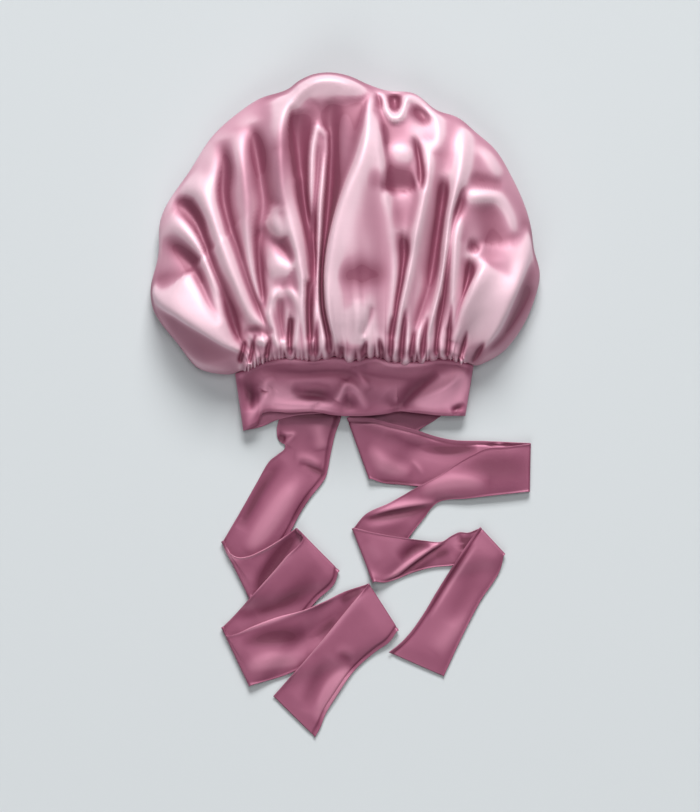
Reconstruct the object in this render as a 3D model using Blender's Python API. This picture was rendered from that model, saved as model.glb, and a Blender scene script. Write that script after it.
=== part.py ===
"""A sleep bonnet lying flat on its back, in metres, +Z up and +Y towards the top of the crown.

A gathered satin crown is sewn to a flattened band, whose lower edge is the head opening, and two long
ties start under the band and lie in zigzags. The origin is the middle of the crown's back, on the surface.
"""

import math

import bpy
import numpy as np

# Driving dimensions.
CROWN_WIDTH = 0.375
CROWN_HEIGHT = 0.276  # from the seam's level to the top of the crown
CROWN_LOFT = 0.062  # how far the puff stands up from the surface
CROWN_FOLD = 0.036  # how far a full fold stands out of the puff, or sinks into it
GATHER_RISE = 0.0018  # the small gathers beside the seam
CROWN_WALL = 0.0012
SEAM_WIDTH = 0.230  # the band at the seam, from fold to fold
SEAM_OFFSET = 0.009  # the band lies this far right of the crown's middle
EDGE_WIDTH = 0.214  # the band at its free edge
BAND_HEIGHT = 0.052  # from the seam's level to the free edge
BAND_DEPTH = 0.017  # the flattened band, from the surface to the top of its front wall
BAND_WALL = 0.0016
TIE_WIDTH = 0.054
TIE_LENGTH = 0.668
TIE_WALL = 0.0016
TIE_LAP = 0.011  # the root of each tie runs this far up under the band
LEFT_ROOT = -0.014  # the left tie's inner edge, from the middle of the seam
RIGHT_ROOT = 0.016  # the right tie's inner edge, from the middle of the seam
FOLD_GAP = 0.0014  # clear space inside each fold of a tie
FOLD_SLOPE = 0.016  # a tie comes down to the surface within this distance of what it crosses
PIECE_GAP = 0.0003  # between the ties and the band that they are sewn to
SEAM_GAP = 0.0006  # between the middle faces of the crown and the band, which are sewn together

# How finely the cloth is divided.
CROWN_COLUMNS = 85
CROWN_FRONT_ROWS = 15
CROWN_UNDER_ROWS = 3
CROWN_BACK_ROWS = 4
GATHERS = 21
BAND_COLUMNS = 34
BAND_TURN_COLUMNS = 4
BAND_ROWS = 6
TIE_COLUMNS = 5
TIE_PANEL_ROWS = 7
TIE_TURN_ROWS = 3
LINE_POINTS = 400  # along a line that is read by its place across
FOLD_POINTS = 25  # along each ridge or valley
LAID_ROWS = 41  # along and across a laid stretch, where later cloth feels for it
LAID_COLUMNS = 25

SEAM_Y = -CROWN_HEIGHT / 2
STRAIGHT_HALF = 0.5 - BAND_DEPTH / 2 / SEAM_WIDTH  # half of the seam between its side turns, as a share
FAN_PULL = 0.07  # how far the fold lines crowd towards the corners of the outline, as a share of it
FAN_RISE = 0.35  # how far they run straight up before they fan out, as a share of their reach
CORNER = 0.035  # the share of the columns at each side that turns from the band's fold into the crown
SEAM_CROWD = 0.75  # how far the columns crowd towards the corners of the seam, from 0 to 1
LOFT_SIDE = 0.46  # the loft at the sides, as a share of CROWN_LOFT
LOFT_ROUNDNESS = 0.8  # lower makes the puff fuller towards the sides
FOLD_END_FADE = 6  # higher keeps a ridge or valley full for longer before its ends
# Where the folds and gathers start and fade, as shares of the way from the seam to the outline.
FOLD_START = 0.02
FOLD_EASE = 0.10
FOLD_FADE = 0.12
GATHER_EASE = 0.04
GATHER_REACH = 0.22
# Shares of the way from the seam to the free edge of the band.
BAND_TAPER = 0.16  # how much lower the front wall ends than it starts, as a share of its height
BAND_LIFT_EASE = 0.5  # the back wall has risen over the roots of the ties by here
BAND_FOLD_EASE = 0.3  # the front wall takes its folds by here
LAID_MARGIN = 1 / 24  # cloth lies fully on what is this near, as a share of TIE_WIDTH

# The crown's outline from the left corner of the seam to the right one.
# across (share of CROWN_WIDTH), up (share of CROWN_HEIGHT, from the seam's level)
CROWN_OUTLINE = (
    (-0.282, -0.040),
    (-0.316, -0.060),
    (-0.355, -0.047),
    (-0.433, 0.061),
    (-0.495, 0.188),
    (-0.499, 0.226),
    (-0.479, 0.366),
    (-0.473, 0.488),
    (-0.395, 0.664),
    (-0.332, 0.790),
    (-0.277, 0.856),
    (-0.218, 0.909),
    (-0.144, 0.944),
    (-0.118, 0.971),
    (-0.080, 0.994),
    (-0.037, 1.000),
    (0.005, 0.990),
    (0.062, 0.957),
    (0.104, 0.938),
    (0.172, 0.929),
    (0.240, 0.866),
    (0.285, 0.846),
    (0.338, 0.789),
    (0.379, 0.741),
    (0.428, 0.636),
    (0.478, 0.456),
    (0.484, 0.390),
    (0.500, 0.296),
    (0.486, 0.207),
    (0.424, 0.053),
    (0.387, 0.002),
    (0.350, -0.031),
    (0.331, -0.020),
)

# One column of the crown, from the front of the mouth over the puff to the outline, then under it.
# reach (share of the way from the seam to the outline), height (share of the column's loft)
CROWN_PROFILE = (
    (0.000, 0.00),
    (0.012, 0.02),
    (0.045, 0.20),
    (0.120, 0.49),
    (0.250, 0.78),
    (0.420, 0.97),
    (0.580, 1.00),
    (0.740, 0.91),
    (0.870, 0.72),
    (0.960, 0.49),
    (1.000, 0.28),
    (0.985, 0.12),
    (0.940, 0.03),
    (0.870, 0.00),
)
FRONT_SHARE = 0.86  # the share of the profile's length that lies on the front, up to the outline

# Ridges and valleys of the crown. Each runs from its foot through its middle to its head.
# foot, middle and head: across (share of CROWN_WIDTH), up (share of CROWN_HEIGHT);
# spread (share of CROWN_WIDTH), rise (share of CROWN_FOLD, negative for a valley)
CROWN_FOLDS = (
    ("left_lip", (-0.252, 0.000), (-0.375, 0.108), (-0.490, 0.220), 0.026, 0.20),
    ("left_crease", (-0.244, 0.007), (-0.318, 0.270), (-0.440, 0.560), 0.024, -0.34),
    ("left_ridge", (-0.215, 0.050), (-0.295, 0.300), (-0.365, 0.560), 0.026, 0.16),
    ("left_valley", (-0.160, 0.020), (-0.255, 0.350), (-0.308, 0.720), 0.022, -0.30),
    ("upper_left_ridge", (-0.190, 0.100), (-0.255, 0.480), (-0.280, 0.800), 0.018, 0.15),
    ("upper_left_valley", (-0.150, 0.060), (-0.210, 0.450), (-0.246, 0.820), 0.016, -0.26),
    ("inner_left_ridge", (-0.140, 0.140), (-0.168, 0.490), (-0.198, 0.860), 0.024, 0.22),
    ("left_hollow", (-0.100, 0.030), (-0.113, 0.540), (-0.135, 0.920), 0.026, -0.52),
    ("thin_ridge", (-0.062, 0.040), (-0.070, 0.450), (-0.062, 0.760), 0.012, 0.22),
    ("middle_hollow", (-0.034, 0.030), (-0.042, 0.420), (-0.028, 0.900), 0.020, -0.42),
    ("main_ridge", (-0.012, 0.020), (-0.026, 0.420), (0.062, 0.920), 0.024, 0.38),
    ("centre_puff", (0.040, 0.050), (0.062, 0.320), (0.095, 0.700), 0.045, 0.24),
    ("curl_valley", (0.108, 0.040), (0.118, 0.450), (0.086, 0.850), 0.018, -0.40),
    ("right_valley", (0.126, 0.050), (0.142, 0.380), (0.134, 0.680), 0.024, -0.28),
    ("right_ridge", (0.154, 0.040), (0.203, 0.440), (0.226, 0.850), 0.026, 0.26),
    ("outer_right_valley", (0.192, 0.050), (0.236, 0.400), (0.251, 0.740), 0.020, -0.30),
    ("outer_right_ridge", (0.212, 0.030), (0.260, 0.400), (0.308, 0.830), 0.024, 0.28),
    ("right_crease", (0.270, 0.050), (0.300, 0.250), (0.292, 0.580), 0.030, -0.36),
    ("right_lip", (0.331, 0.025), (0.390, 0.170), (0.459, 0.385), 0.028, 0.22),
)

# Where the band is sewn to the crown, and the band's free edge in front and behind.
# across (share of the width there), up (share of BAND_HEIGHT, from the seam's level)
SEAM_LINE = (
    (-0.500, -0.250),
    (-0.425, -0.120),
    (-0.354, 0.000),
    (-0.270, 0.046),
    (-0.186, 0.000),
    (-0.069, 0.065),
    (-0.006, 0.000),
    (0.082, 0.074),
    (0.165, -0.028),
    (0.270, -0.020),
    (0.362, 0.037),
    (0.430, 0.000),
    (0.500, -0.100),
)
FRONT_EDGE = (
    (-0.500, -1.310),
    (-0.445, -1.215),
    (-0.380, -0.950),
    (-0.280, -0.970),
    (-0.190, -0.950),
    (-0.086, -1.020),
    (0.036, -1.035),
    (0.140, -0.995),
    (0.198, -0.950),
    (0.288, -0.980),
    (0.388, -1.025),
    (0.500, -1.030),
)
BACK_EDGE = (
    (-0.500, -1.310),
    (-0.430, -1.250),
    (-0.346, -1.110),
    (-0.250, -1.020),
    (-0.086, -0.980),
    (0.200, -0.950),
    (0.400, -0.990),
    (0.500, -1.030),
)

# Ridges and valleys of the band's front wall, in the same columns, with lengths as shares of SEAM_WIDTH
# and BAND_HEIGHT, and rise as a share of BAND_DEPTH.
BAND_FOLDS = (
    ("left_roll", (-0.400, -0.520), (-0.330, -0.720), (-0.180, -0.880), 0.040, 0.16),
    ("left_dip", (-0.300, -0.300), (-0.180, -0.560), (-0.080, -0.680), 0.035, -0.12),
    ("middle_fold_left", (-0.040, -0.330), (-0.075, -0.600), (-0.110, -0.930), 0.024, 0.13),
    ("middle_fold_right", (-0.030, -0.330), (0.005, -0.600), (0.060, -0.950), 0.024, 0.10),
    ("right_dip", (0.180, -0.880), (0.240, -0.550), (0.400, -0.300), 0.030, -0.12),
    ("right_roll", (0.210, -0.830), (0.320, -0.640), (0.450, -0.380), 0.035, 0.14),
)

# The ties, a row for each straight stretch. A stretch after a fold lies over the one before it, and one
# after a bend only turns in its own plane.
# turn, run (share of TIE_LENGTH), heading (degrees from +X), skew of the line where it turns (degrees),
# width there (share of TIE_WIDTH)
LEFT_TIE = (
    ("root", 0.078, -93, 0, 1.00),
    ("bend", 0.192, -121, 0, 1.00),
    ("fold", 0.114, 14, -7, 1.02),
    ("fold", 0.190, -127, 9, 1.02),
    ("fold", 0.219, 18, -8, 1.06),
    ("fold", 0.207, -128, -4, 0.96),
)
RIGHT_TIE = (
    ("root", 0.101, -140, 0, 1.00),
    ("fold", 0.244, -6, 4, 1.02),
    ("fold", 0.268, -152, -10, 0.90),
    ("fold", 0.180, 6, 4, 1.02),
    ("fold", 0.207, -121, 9, 0.72),
)

SATIN = ("crown_satin", (0.70, 0.42, 0.52, 1.0), 0.28)
BAND_CLOTH = ("band_cloth", (0.40, 0.16, 0.26, 1.0), 0.45)
TIE_CLOTH = ("tie_cloth", (0.42, 0.18, 0.28, 1.0), 0.45)


def through(rows, shares):
    """Points of the smooth curve through these rows, at shares of its length."""
    rows = np.array(rows, float)
    steps = np.linalg.norm(np.diff(rows, axis=0), axis=1)
    at = np.concatenate([[0.0], np.cumsum(steps)]) / steps.sum()
    slopes = np.gradient(rows, at, axis=0)
    shares = np.clip(np.asarray(shares, float), 0.0, 1.0)
    start = np.clip(np.searchsorted(at, shares, side="right") - 1, 0, len(at) - 2)
    span = (at[start + 1] - at[start])[:, None]
    t = (shares - at[start])[:, None] / span
    return (
        (2 * t**3 - 3 * t**2 + 1) * rows[start]
        + (t**3 - 2 * t**2 + t) * span * slopes[start]
        + (3 * t**2 - 2 * t**3) * rows[start + 1]
        + (t**3 - t**2) * span * slopes[start + 1]
    )


def level_at(rows, across):
    """The second column of a line's rows, read smoothly where its first column is across."""
    line = through(rows, np.linspace(0.0, 1.0, LINE_POINTS))
    return np.interp(across, line[:, 0], line[:, 1])


def smoothstep(value):
    value = np.clip(value, 0.0, 1.0)
    return value * value * (3 - 2 * value)


def fold_lift(places, folds, width, height):
    """How far each fold's ridge or valley lifts the cloth at these places, as shares of its depth."""
    lift = np.zeros(len(places))
    scale = np.array([width, height])
    for _, foot, middle, head, spread, rise in folds:
        line = through((foot, middle, head), np.linspace(0.0, 1.0, FOLD_POINTS)) * scale
        away = np.linalg.norm(places[:, None] - line[None], axis=2)
        nearest = away.argmin(axis=1)
        fade = 1.0 - (2.0 * nearest / (FOLD_POINTS - 1) - 1.0) ** FOLD_END_FADE
        lift += rise * fade * np.exp(-((away.min(axis=1) / (spread * width)) ** 2))
    return lift


def seam_loop(across):
    """Plan positions on the seam at these shares of its width, straight between the band's columns."""
    corners = np.linspace(-STRAIGHT_HALF, STRAIGHT_HALF, BAND_COLUMNS)
    level = np.interp(across, corners, level_at(SEAM_LINE, corners))
    return np.stack([SEAM_OFFSET + across * SEAM_WIDTH, SEAM_Y + BAND_HEIGHT * level], axis=-1)


def crown_column(share):
    """The outer face along one column, from the front of the mouth over the puff to its back."""
    side = -1.0 if share < 0.5 else 1.0
    crown_like = smoothstep((0.5 - abs(share - 0.5)) / CORNER)
    even, crowded = 2.0 * share - 1.0, -math.cos(math.pi * share)
    place = STRAIGHT_HALF * ((1.0 - SEAM_CROWD) * even + SEAM_CROWD * crowded)
    root = seam_loop(np.array([place]))[0]
    rim_share = share + FAN_PULL * math.sin(2.0 * math.pi * share)
    rim = through(CROWN_OUTLINE, [rim_share])[0] * (CROWN_WIDTH, CROWN_HEIGHT) + (0.0, SEAM_Y)
    fullness = math.sin(math.pi * share) ** LOFT_ROUNDNESS
    loft = CROWN_LOFT * (LOFT_SIDE + (1.0 - LOFT_SIDE) * fullness)

    # The profile over the puff and under it, then flat on the surface back to the mouth.
    front = through(CROWN_PROFILE, np.linspace(0.0, FRONT_SHARE, CROWN_FRONT_ROWS))
    under = through(CROWN_PROFILE, np.linspace(FRONT_SHARE, 1.0, CROWN_UNDER_ROWS + 1)[1:])
    flat = np.linspace(CROWN_PROFILE[-1][0], 0.0, CROWN_BACK_ROWS + 1)[1:]
    reach = np.concatenate([front[:, 0], under[:, 0], flat])
    height = loft * np.concatenate([front[:, 1], under[:, 1], np.zeros(len(flat))])
    height[:CROWN_FRONT_ROWS] += BAND_DEPTH * (1.0 - front[:, 0]) ** 3

    # The fold lines leave the seam straight up the crown and then bend towards the outline.
    bend = root + (0.0, FAN_RISE * np.linalg.norm(rim - root) * crown_like)
    t = np.clip(reach, 0.0, 1.0)[:, None]
    plan = (1 - t) ** 2 * root + 2 * t * (1 - t) * bend + t**2 * rim

    # At the sides of the mouth the column is only the turn of the band's own fold.
    over = np.linspace(math.pi / 2, 0.0, CROWN_FRONT_ROWS)
    back = np.linspace(0.0, -math.pi / 2, len(reach) - CROWN_FRONT_ROWS + 1)[1:]
    turn = np.concatenate([over, back])
    fold = seam_loop(side * (STRAIGHT_HALF + BAND_DEPTH / 2 / SEAM_WIDTH * np.cos(turn)))
    plan = crown_like * plan + (1.0 - crown_like) * fold + (0.0, SEAM_GAP / 2)
    height = crown_like * height + (1.0 - crown_like) * BAND_DEPTH / 2 * (1.0 + np.sin(turn))
    reach[CROWN_FRONT_ROWS:] = 1.0
    return plan, height, reach, crown_like


def crown_grid():
    """The crown's outer face: a row of points for each column."""
    columns = []
    for i in range(CROWN_COLUMNS):
        share = i / (CROWN_COLUMNS - 1)
        plan, height, reach, crown_like = crown_column(share)
        started = smoothstep((reach - FOLD_START) / FOLD_EASE)
        folded = crown_like * started * smoothstep((1.0 - reach) / FOLD_FADE)
        places = plan - (0.0, SEAM_Y)
        height += CROWN_FOLD * folded * fold_lift(places, CROWN_FOLDS, CROWN_WIDTH, CROWN_HEIGHT)
        gathered = crown_like * smoothstep(reach / GATHER_EASE) * smoothstep(1.0 - reach / GATHER_REACH)
        height += GATHER_RISE * gathered * math.cos(2.0 * math.pi * GATHERS * share)
        columns.append(np.column_stack([plan, height]))
    return np.array(columns)


def band_grid():
    """The band's middle face: a ring of points from the seam down to the free edge."""
    wide = np.linspace(-STRAIGHT_HALF, STRAIGHT_HALF, BAND_COLUMNS)
    turn = np.linspace(math.pi / 2, -math.pi / 2, BAND_TURN_COLUMNS + 2)[1:-1]
    bulge = STRAIGHT_HALF + (BAND_DEPTH - BAND_WALL) / 2 / SEAM_WIDTH * np.cos(turn)
    across = np.concatenate([wide, bulge, wide[::-1], -bulge])
    frontness = np.concatenate(
        [
            np.ones(BAND_COLUMNS),
            0.5 + 0.5 * np.sin(turn),
            np.zeros(BAND_COLUMNS),
            0.5 - 0.5 * np.sin(turn),
        ]
    )
    rings = []
    for row in range(BAND_ROWS + 1):
        down = row / BAND_ROWS
        seam = seam_loop(across) - (0.0, SEAM_GAP / 2)
        front, back = level_at(FRONT_EDGE, across), level_at(BACK_EDGE, across)
        level = frontness * front + (1 - frontness) * back
        edge = np.stack([SEAM_OFFSET + across * EDGE_WIDTH, SEAM_Y + BAND_HEIGHT * level], axis=-1)
        plan = (1 - down) * seam + down * edge
        low = BAND_WALL / 2 + (TIE_WALL + PIECE_GAP) * smoothstep(down / BAND_LIFT_EASE)
        high = (BAND_DEPTH - BAND_WALL / 2) * (1 - BAND_TAPER * down)
        places = plan - (SEAM_OFFSET, SEAM_Y)
        folds = BAND_DEPTH * fold_lift(places, BAND_FOLDS, SEAM_WIDTH, BAND_HEIGHT)
        height = low + (high - low + folds * smoothstep(down / BAND_FOLD_EASE)) * frontness
        rings.append(np.column_stack([plan, height]))
    return np.array(rings)


def unit(degrees):
    return np.array([math.cos(math.radians(degrees)), math.sin(math.radians(degrees))])


def tie_lines(rows, inner_edge, inner_side):
    """The line across the tie at its root, at each turn and at its end: two edge points for each."""
    slant = TIE_WIDTH / 2 / abs(unit(rows[0][2])[1])
    middle = np.array([SEAM_OFFSET + inner_edge + inner_side * slant, SEAM_Y - BAND_HEIGHT + TIE_LAP])
    lines = [(middle - (slant, 0.0), middle + (slant, 0.0))]
    for i, (_, run, heading, _, _) in enumerate(rows):
        middle = middle + TIE_LENGTH * run * unit(heading)
        turn, _, onward, skew, wide = rows[i + 1] if i + 1 < len(rows) else ("end", 0, heading, 0, 1.0)
        across = unit(heading) + unit(onward)
        if turn != "fold":
            across = np.array([-across[1], across[0]])
        across = across if across[1] < 0 else -across
        across = unit(math.degrees(math.atan2(across[1], across[0])) + skew)
        sine = abs(across[0] * unit(heading)[1] - across[1] * unit(heading)[0])
        half = across * TIE_WIDTH * wide / 2 / sine
        lines.append((middle - half, middle + half))
    return lines


def rest_height(places, laid):
    """How high cloth lies at these places over what was laid before, easing down to the surface."""
    lift = np.zeros(places.shape[:-1])
    for plan, height in laid:
        away = np.linalg.norm(places[..., None, :] - plan, axis=-1)
        near = smoothstep(1.0 - (away - LAID_MARGIN * TIE_WIDTH) / FOLD_SLOPE)
        lift = np.maximum(lift, ((height + TIE_WALL + FOLD_GAP) * near).max(axis=-1))
    return lift


def stretch(near, far, along, across):
    """Plan positions on one straight stretch of a tie, between the lines at its two ends."""
    along = np.asarray(along)[..., None]
    left = (1 - along) * near[0] + along * far[0]
    right = (1 - along) * near[1] + along * far[1]
    across = np.asarray(across)[..., None]
    return (1 - across) * left + across * right


def fold_turn(under, over, backwards):
    """The rows of the round turn from the end of one stretch up to the start of the next."""
    rows = []
    radius = (over[:, 2] - under[:, 2]) / 2
    for k in range(1, TIE_TURN_ROWS + 1):
        angle = math.pi * (k / (TIE_TURN_ROWS + 1) - 0.5)
        row = (under + over) / 2
        row[:, :2] += (radius * math.cos(angle))[:, None] * backwards
        row[:, 2] += radius * math.sin(angle)
        rows.append(row)
    return rows


def tie_grid(rows, lines, laid):
    """The tie's middle face: a row of points across it for each step along it."""
    across = np.linspace(0.0, 1.0, TIE_COLUMNS)
    strip = []
    for (turn, _, heading, _, _), near, far in zip(rows, lines, lines[1:]):
        crossed = laid[:-1] if turn == "bend" else list(laid)
        panel = []
        for along in np.linspace(0.0, 1.0, TIE_PANEL_ROWS):
            plan = stretch(near, far, np.full(TIE_COLUMNS, along), across)
            panel.append(np.column_stack([plan, rest_height(plan, crossed)]))
        if turn == "fold":
            backwards = np.array([near[1][1] - near[0][1], near[0][0] - near[1][0]])
            backwards = -backwards * np.sign(backwards @ unit(heading)) / np.linalg.norm(backwards)
            strip += fold_turn(strip[-1], panel[0], backwards)
        strip += panel[1:] if turn == "bend" else panel
        shares = np.meshgrid(np.linspace(0.0, 1.0, LAID_ROWS), np.linspace(0.0, 1.0, LAID_COLUMNS))
        places = stretch(near, far, *shares).reshape(-1, 2)
        laid.append((places, rest_height(places, crossed)))
    strip = np.array(strip)
    strip[..., 2] += TIE_WALL / 2
    return strip


def cloth_material(finish):
    name, colour, roughness = finish
    material = bpy.data.materials.new(name)
    material.use_nodes = True
    shader = material.node_tree.nodes["Principled BSDF"]
    shader.inputs["Base Color"].default_value = colour
    shader.inputs["Roughness"].default_value = roughness
    shader.inputs["Metallic"].default_value = 0.0
    return material


def cloth_object(name, grid, wall, offset, finish, ring=False, flip=False):
    """A sheet of cloth through a grid of points, thickened to its wall. A ring closes across its rows."""
    rows, columns = grid.shape[:2]
    last = columns if ring else columns - 1
    faces = []
    for i in range(rows - 1):
        for j in range(last):
            k = (j + 1) % columns
            here, onward = i * columns, (i + 1) * columns
            corners = (here + j, here + k, onward + k, onward + j)
            faces.append(corners[::-1] if flip else corners)
    mesh = bpy.data.meshes.new(name)
    mesh.from_pydata([tuple(point) for point in grid.reshape(-1, 3)], [], faces)
    mesh.shade_smooth()
    mesh.materials.append(cloth_material(finish))
    piece = bpy.data.objects.new(name, mesh)
    bpy.context.scene.collection.objects.link(piece)
    thick = piece.modifiers.new("wall", "SOLIDIFY")
    thick.thickness = wall
    thick.offset = offset
    return piece


for old in list(bpy.data.objects):
    bpy.data.objects.remove(old)

cloth_object("crown", crown_grid(), CROWN_WALL, -1.0, SATIN, flip=True)
cloth_object("band", band_grid(), BAND_WALL, 0.0, BAND_CLOTH, ring=True)
laid_cloth = []
left_lines = tie_lines(LEFT_TIE, LEFT_ROOT, -1)
cloth_object("tie_left", tie_grid(LEFT_TIE, left_lines, laid_cloth), TIE_WALL, 0.0, TIE_CLOTH)
right_lines = tie_lines(RIGHT_TIE, RIGHT_ROOT, 1)
cloth_object("tie_right", tie_grid(RIGHT_TIE, right_lines, laid_cloth), TIE_WALL, 0.0, TIE_CLOTH)
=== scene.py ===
# The finished sleep bonnet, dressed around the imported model.
import math

import bpy
import numpy as np
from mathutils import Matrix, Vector
from mathutils.kdtree import KDTree


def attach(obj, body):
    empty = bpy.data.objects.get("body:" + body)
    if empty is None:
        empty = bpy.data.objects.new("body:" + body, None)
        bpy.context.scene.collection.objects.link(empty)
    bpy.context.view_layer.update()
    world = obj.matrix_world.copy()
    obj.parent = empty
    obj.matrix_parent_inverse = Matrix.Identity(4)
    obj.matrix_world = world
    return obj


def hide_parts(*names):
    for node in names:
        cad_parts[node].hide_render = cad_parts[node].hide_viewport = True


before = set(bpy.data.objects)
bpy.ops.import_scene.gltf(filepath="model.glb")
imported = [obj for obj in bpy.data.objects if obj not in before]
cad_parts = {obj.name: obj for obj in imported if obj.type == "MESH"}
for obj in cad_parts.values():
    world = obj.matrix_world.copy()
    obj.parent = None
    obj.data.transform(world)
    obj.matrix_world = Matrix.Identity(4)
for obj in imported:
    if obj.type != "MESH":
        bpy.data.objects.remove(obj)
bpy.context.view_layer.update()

rng = np.random.default_rng(11)
mm = 0.001
readings = 400  # points that a smooth line is read at

picture = {
    "size": (700, 812),
    "scale": 0.0009615,  # metres on the table for each dot of the photograph's width
    "origin": (345.0, 216.48),  # the bonnet's origin, in the photograph
}
folding = {
    "steps": 28,  # points along a fold
    "reach": 2.6,  # how many of its widths a fold is felt for
    "soft": 0.25,  # how far a sharp fold's top is rounded, in widths
    "ending": 4.0,  # the higher, the nearer to its ends a fold starts to fade
    "shadeEnding": 2.5,
}
# how far the painted relief shading is evened out, wide and fine, and how far each may move the tone
creasing = {"wideRounds": 120, "wideLimit": 0.5, "fineRounds": 16, "fineLimit": 0.18}


def spot(points):  # from a place in the photograph to the table, in metres
    points = np.asarray(points, float)
    return (points - picture["origin"]) * (picture["scale"], -picture["scale"])


def smooth(value):
    value = np.clip(value, 0.0, 1.0)
    return value * value * (3 - 2 * value)


def blurred(grid, rounds, both=True):  # evened out down its columns, and along its rows too
    grid = grid.copy()
    for turn in range(rounds):
        grid[1:-1] = (grid[:-2] + 2 * grid[1:-1] + grid[2:]) / 4
        if both:
            grid[:, 1:-1] = (grid[:, :-2] + 2 * grid[:, 1:-1] + grid[:, 2:]) / 4
    return grid


def through(rows, shares):  # points of the smooth curve through the rows, at shares of its length
    rows = np.array(rows, float)
    steps = np.linalg.norm(np.diff(rows[:, :2], axis=0), axis=1)
    at = np.concatenate([[0.0], np.cumsum(steps)]) / steps.sum()
    slopes = np.gradient(rows, at, axis=0)
    shares = np.clip(np.asarray(shares, float), 0.0, 1.0)
    start = np.clip(np.searchsorted(at, shares, side="right") - 1, 0, len(at) - 2)
    span = (at[start + 1] - at[start])[..., None]
    t = (shares - at[start])[..., None] / span
    return (
        (2 * t**3 - 3 * t**2 + 1) * rows[start]
        + (t**3 - 2 * t**2 + t) * span * slopes[start]
        + (3 * t**2 - 2 * t**3) * rows[start + 1]
        + (t**3 - t**2) * span * slopes[start + 1]
    )


def levelAt(rows, across):  # the second column of the rows, read smoothly where the first is across
    line = through(rows, np.linspace(0.0, 1.0, readings))
    return np.interp(across, line[:, 0], line[:, 1])


def fullRows(width, rows):  # rows with their widths at both hands and their lean filled in
    full = []
    for row in rows:
        sides = row[3:5] or (width,)
        full.append((*row[:3], sides[0], sides[-1], *(row[5:] or (0,))))
    return full


def foldShape(places, folds, ending=folding["ending"]):  # how far the folds lift and shift each place
    flat = places.reshape(-1, 2)
    lift = np.zeros(len(flat))
    shift = np.zeros((len(flat), 2))
    steps, soft = folding["steps"], folding["soft"]
    for name, peak, width, *rows in folds:
        line = through(fullRows(width, rows), np.linspace(0.0, 1.0, steps))
        at = spot(line[:, :2])
        reach = picture["scale"] * line[:, 3:5].max() * folding["reach"]
        near = np.all((flat > at.min(0) - reach) & (flat < at.max(0) + reach), axis=1)
        if not near.any():
            continue
        points = flat[near]
        a, b = at[:-1], at[1:]
        along = b - a
        t = ((points[:, None] - a) * along).sum(-1) / (along**2).sum(-1)
        t = np.clip(t, 0.0, 1.0)
        gap = points[:, None] - a - t[..., None] * along
        far = np.linalg.norm(gap, axis=-1)
        k = far.argmin(axis=1)
        i = np.arange(len(k))
        share = (k + t[i, k]) / (steps - 1)
        side = along[k, 0] * gap[i, k, 1] - along[k, 1] * gap[i, k, 0]
        line = line[k] + (line[k + 1] - line[k]) * t[i, k][:, None]
        wide = np.where(side > 0, line[:, 3], line[:, 4]) * picture["scale"]
        q = far[i, k] / wide
        kernel = np.exp(soft**peak - (q**2 + soft**2) ** (peak / 2))
        fade = 1.0 - np.abs(2.0 * share - 1.0) ** ending
        normal = np.stack([-along[k, 1], along[k, 0]], axis=1)
        normal /= np.linalg.norm(normal, axis=1)[:, None]
        lift[near] += line[:, 2] * mm * kernel * fade
        shift[near] += normal * (line[:, 5] * mm * kernel * fade)[:, None]
    return lift.reshape(places.shape[:-1]), shift.reshape(places.shape)


crown = {
    "width": 0.375, "height": 0.276, "loft": 0.060, "wall": 0.0007,
    "columns": 380, "frontRows": 114, "underRows": 7, "backRows": 6,
    "brow": 0.86,  # the share of the profile that is seen from above
    "rowCrowd": 0.15,  # how much closer the rows stand at the seam
    "flatten": 0.35,  # how much the profile's height counts when the rows are spaced
    "rimCrowd": 0.07,
    "sideLoft": 0.46, "loftPower": 0.8,  # the loft at the sides, and how soon it is full
    "rootRise": 0.35,  # the share of its way that the cloth heads straight up from the seam
    "corner": 0.030,
    "foldStart": (0.004, 0.045), "foldEnd": 0.025, "foldEnding": 8.0, "shadeEnding": 3.0,
    "foldRounds": 2,
    "swell": 0.0034, "swellStart": 0.004, "swellReach": 0.022, "swellLeast": 0.4, "swellPleat": 1.4,
    "hook": 0.0016, "hookStart": 0.03,
    # how strongly the painted shade and highlight table goes into the colour, and the scales of the painted
    # relief shading
    "shading": 550.0, "creaseDepth": 0.0075, "fineCreases": 2.4,
}
flutes = {  # the long gathers, from the least to the most of the seam wide
    "height": 0.0020, "least": 0.022, "most": 0.080, "reach": 0.16, "start": 0.02,
    # how much shade is painted into their hollows, and how far below level a hollow starts to get it
    "dark": 0.6, "under": 0.08,
}
pleats = {  # the short gathers at the seam
    "height": 0.0040, "least": 0.008, "most": 0.050, "reach": 0.030, "start": 0.012,
    # how much shade is painted into their hollows, and how far below level a hollow starts to get it
    "dark": 1.4, "under": 0.05,
}
gathering = {  # the ranges that each gather's shape is drawn from
    "size": (0.35, 1.3), "widthCounts": (0.55, 1.4), "length": (0.45, 1.6), "skew": (0.7, 1.4),
    "blunt": 0.65,
}
wrinkles = {
    "start": 0.03,
    "layers": ((44, 6, 0.0008, 0.6), (90, 5, 0.0005, 0.3)),  # knots across and along, height, reach
}
seam = {
    "width": 0.230, "offset": 0.009, "y": -0.138, "depth": 0.017, "gap": 0.0008,
    "crowd": 0.75,  # how much of the crown's cloth is taken to the sides
}
seam["half"] = 0.5 - seam["depth"] / 2 / seam["width"]
bandSize = {
    "height": 0.052, "edge": 0.214, "wall": 0.0014,
    "columns": 230, "turnColumns": 14, "rows": 56,
    "backLift": 0.0019, "backStart": 0.5, "taper": 0.16,
    "edgeDrop": 0.0022, "edgeStart": 0.93, "edgeReach": 0.07,
    "topSwell": 0.0012, "topAt": 0.03, "topWidth": 0.04,
    # how strongly the painted shade and highlight table goes into the colour, and the scales of the painted
    # relief shading
    "folding": 0.75, "foldStart": 0.08, "shading": 550.0, "creaseDepth": 0.006, "fineCreases": 1.5,
}

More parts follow.
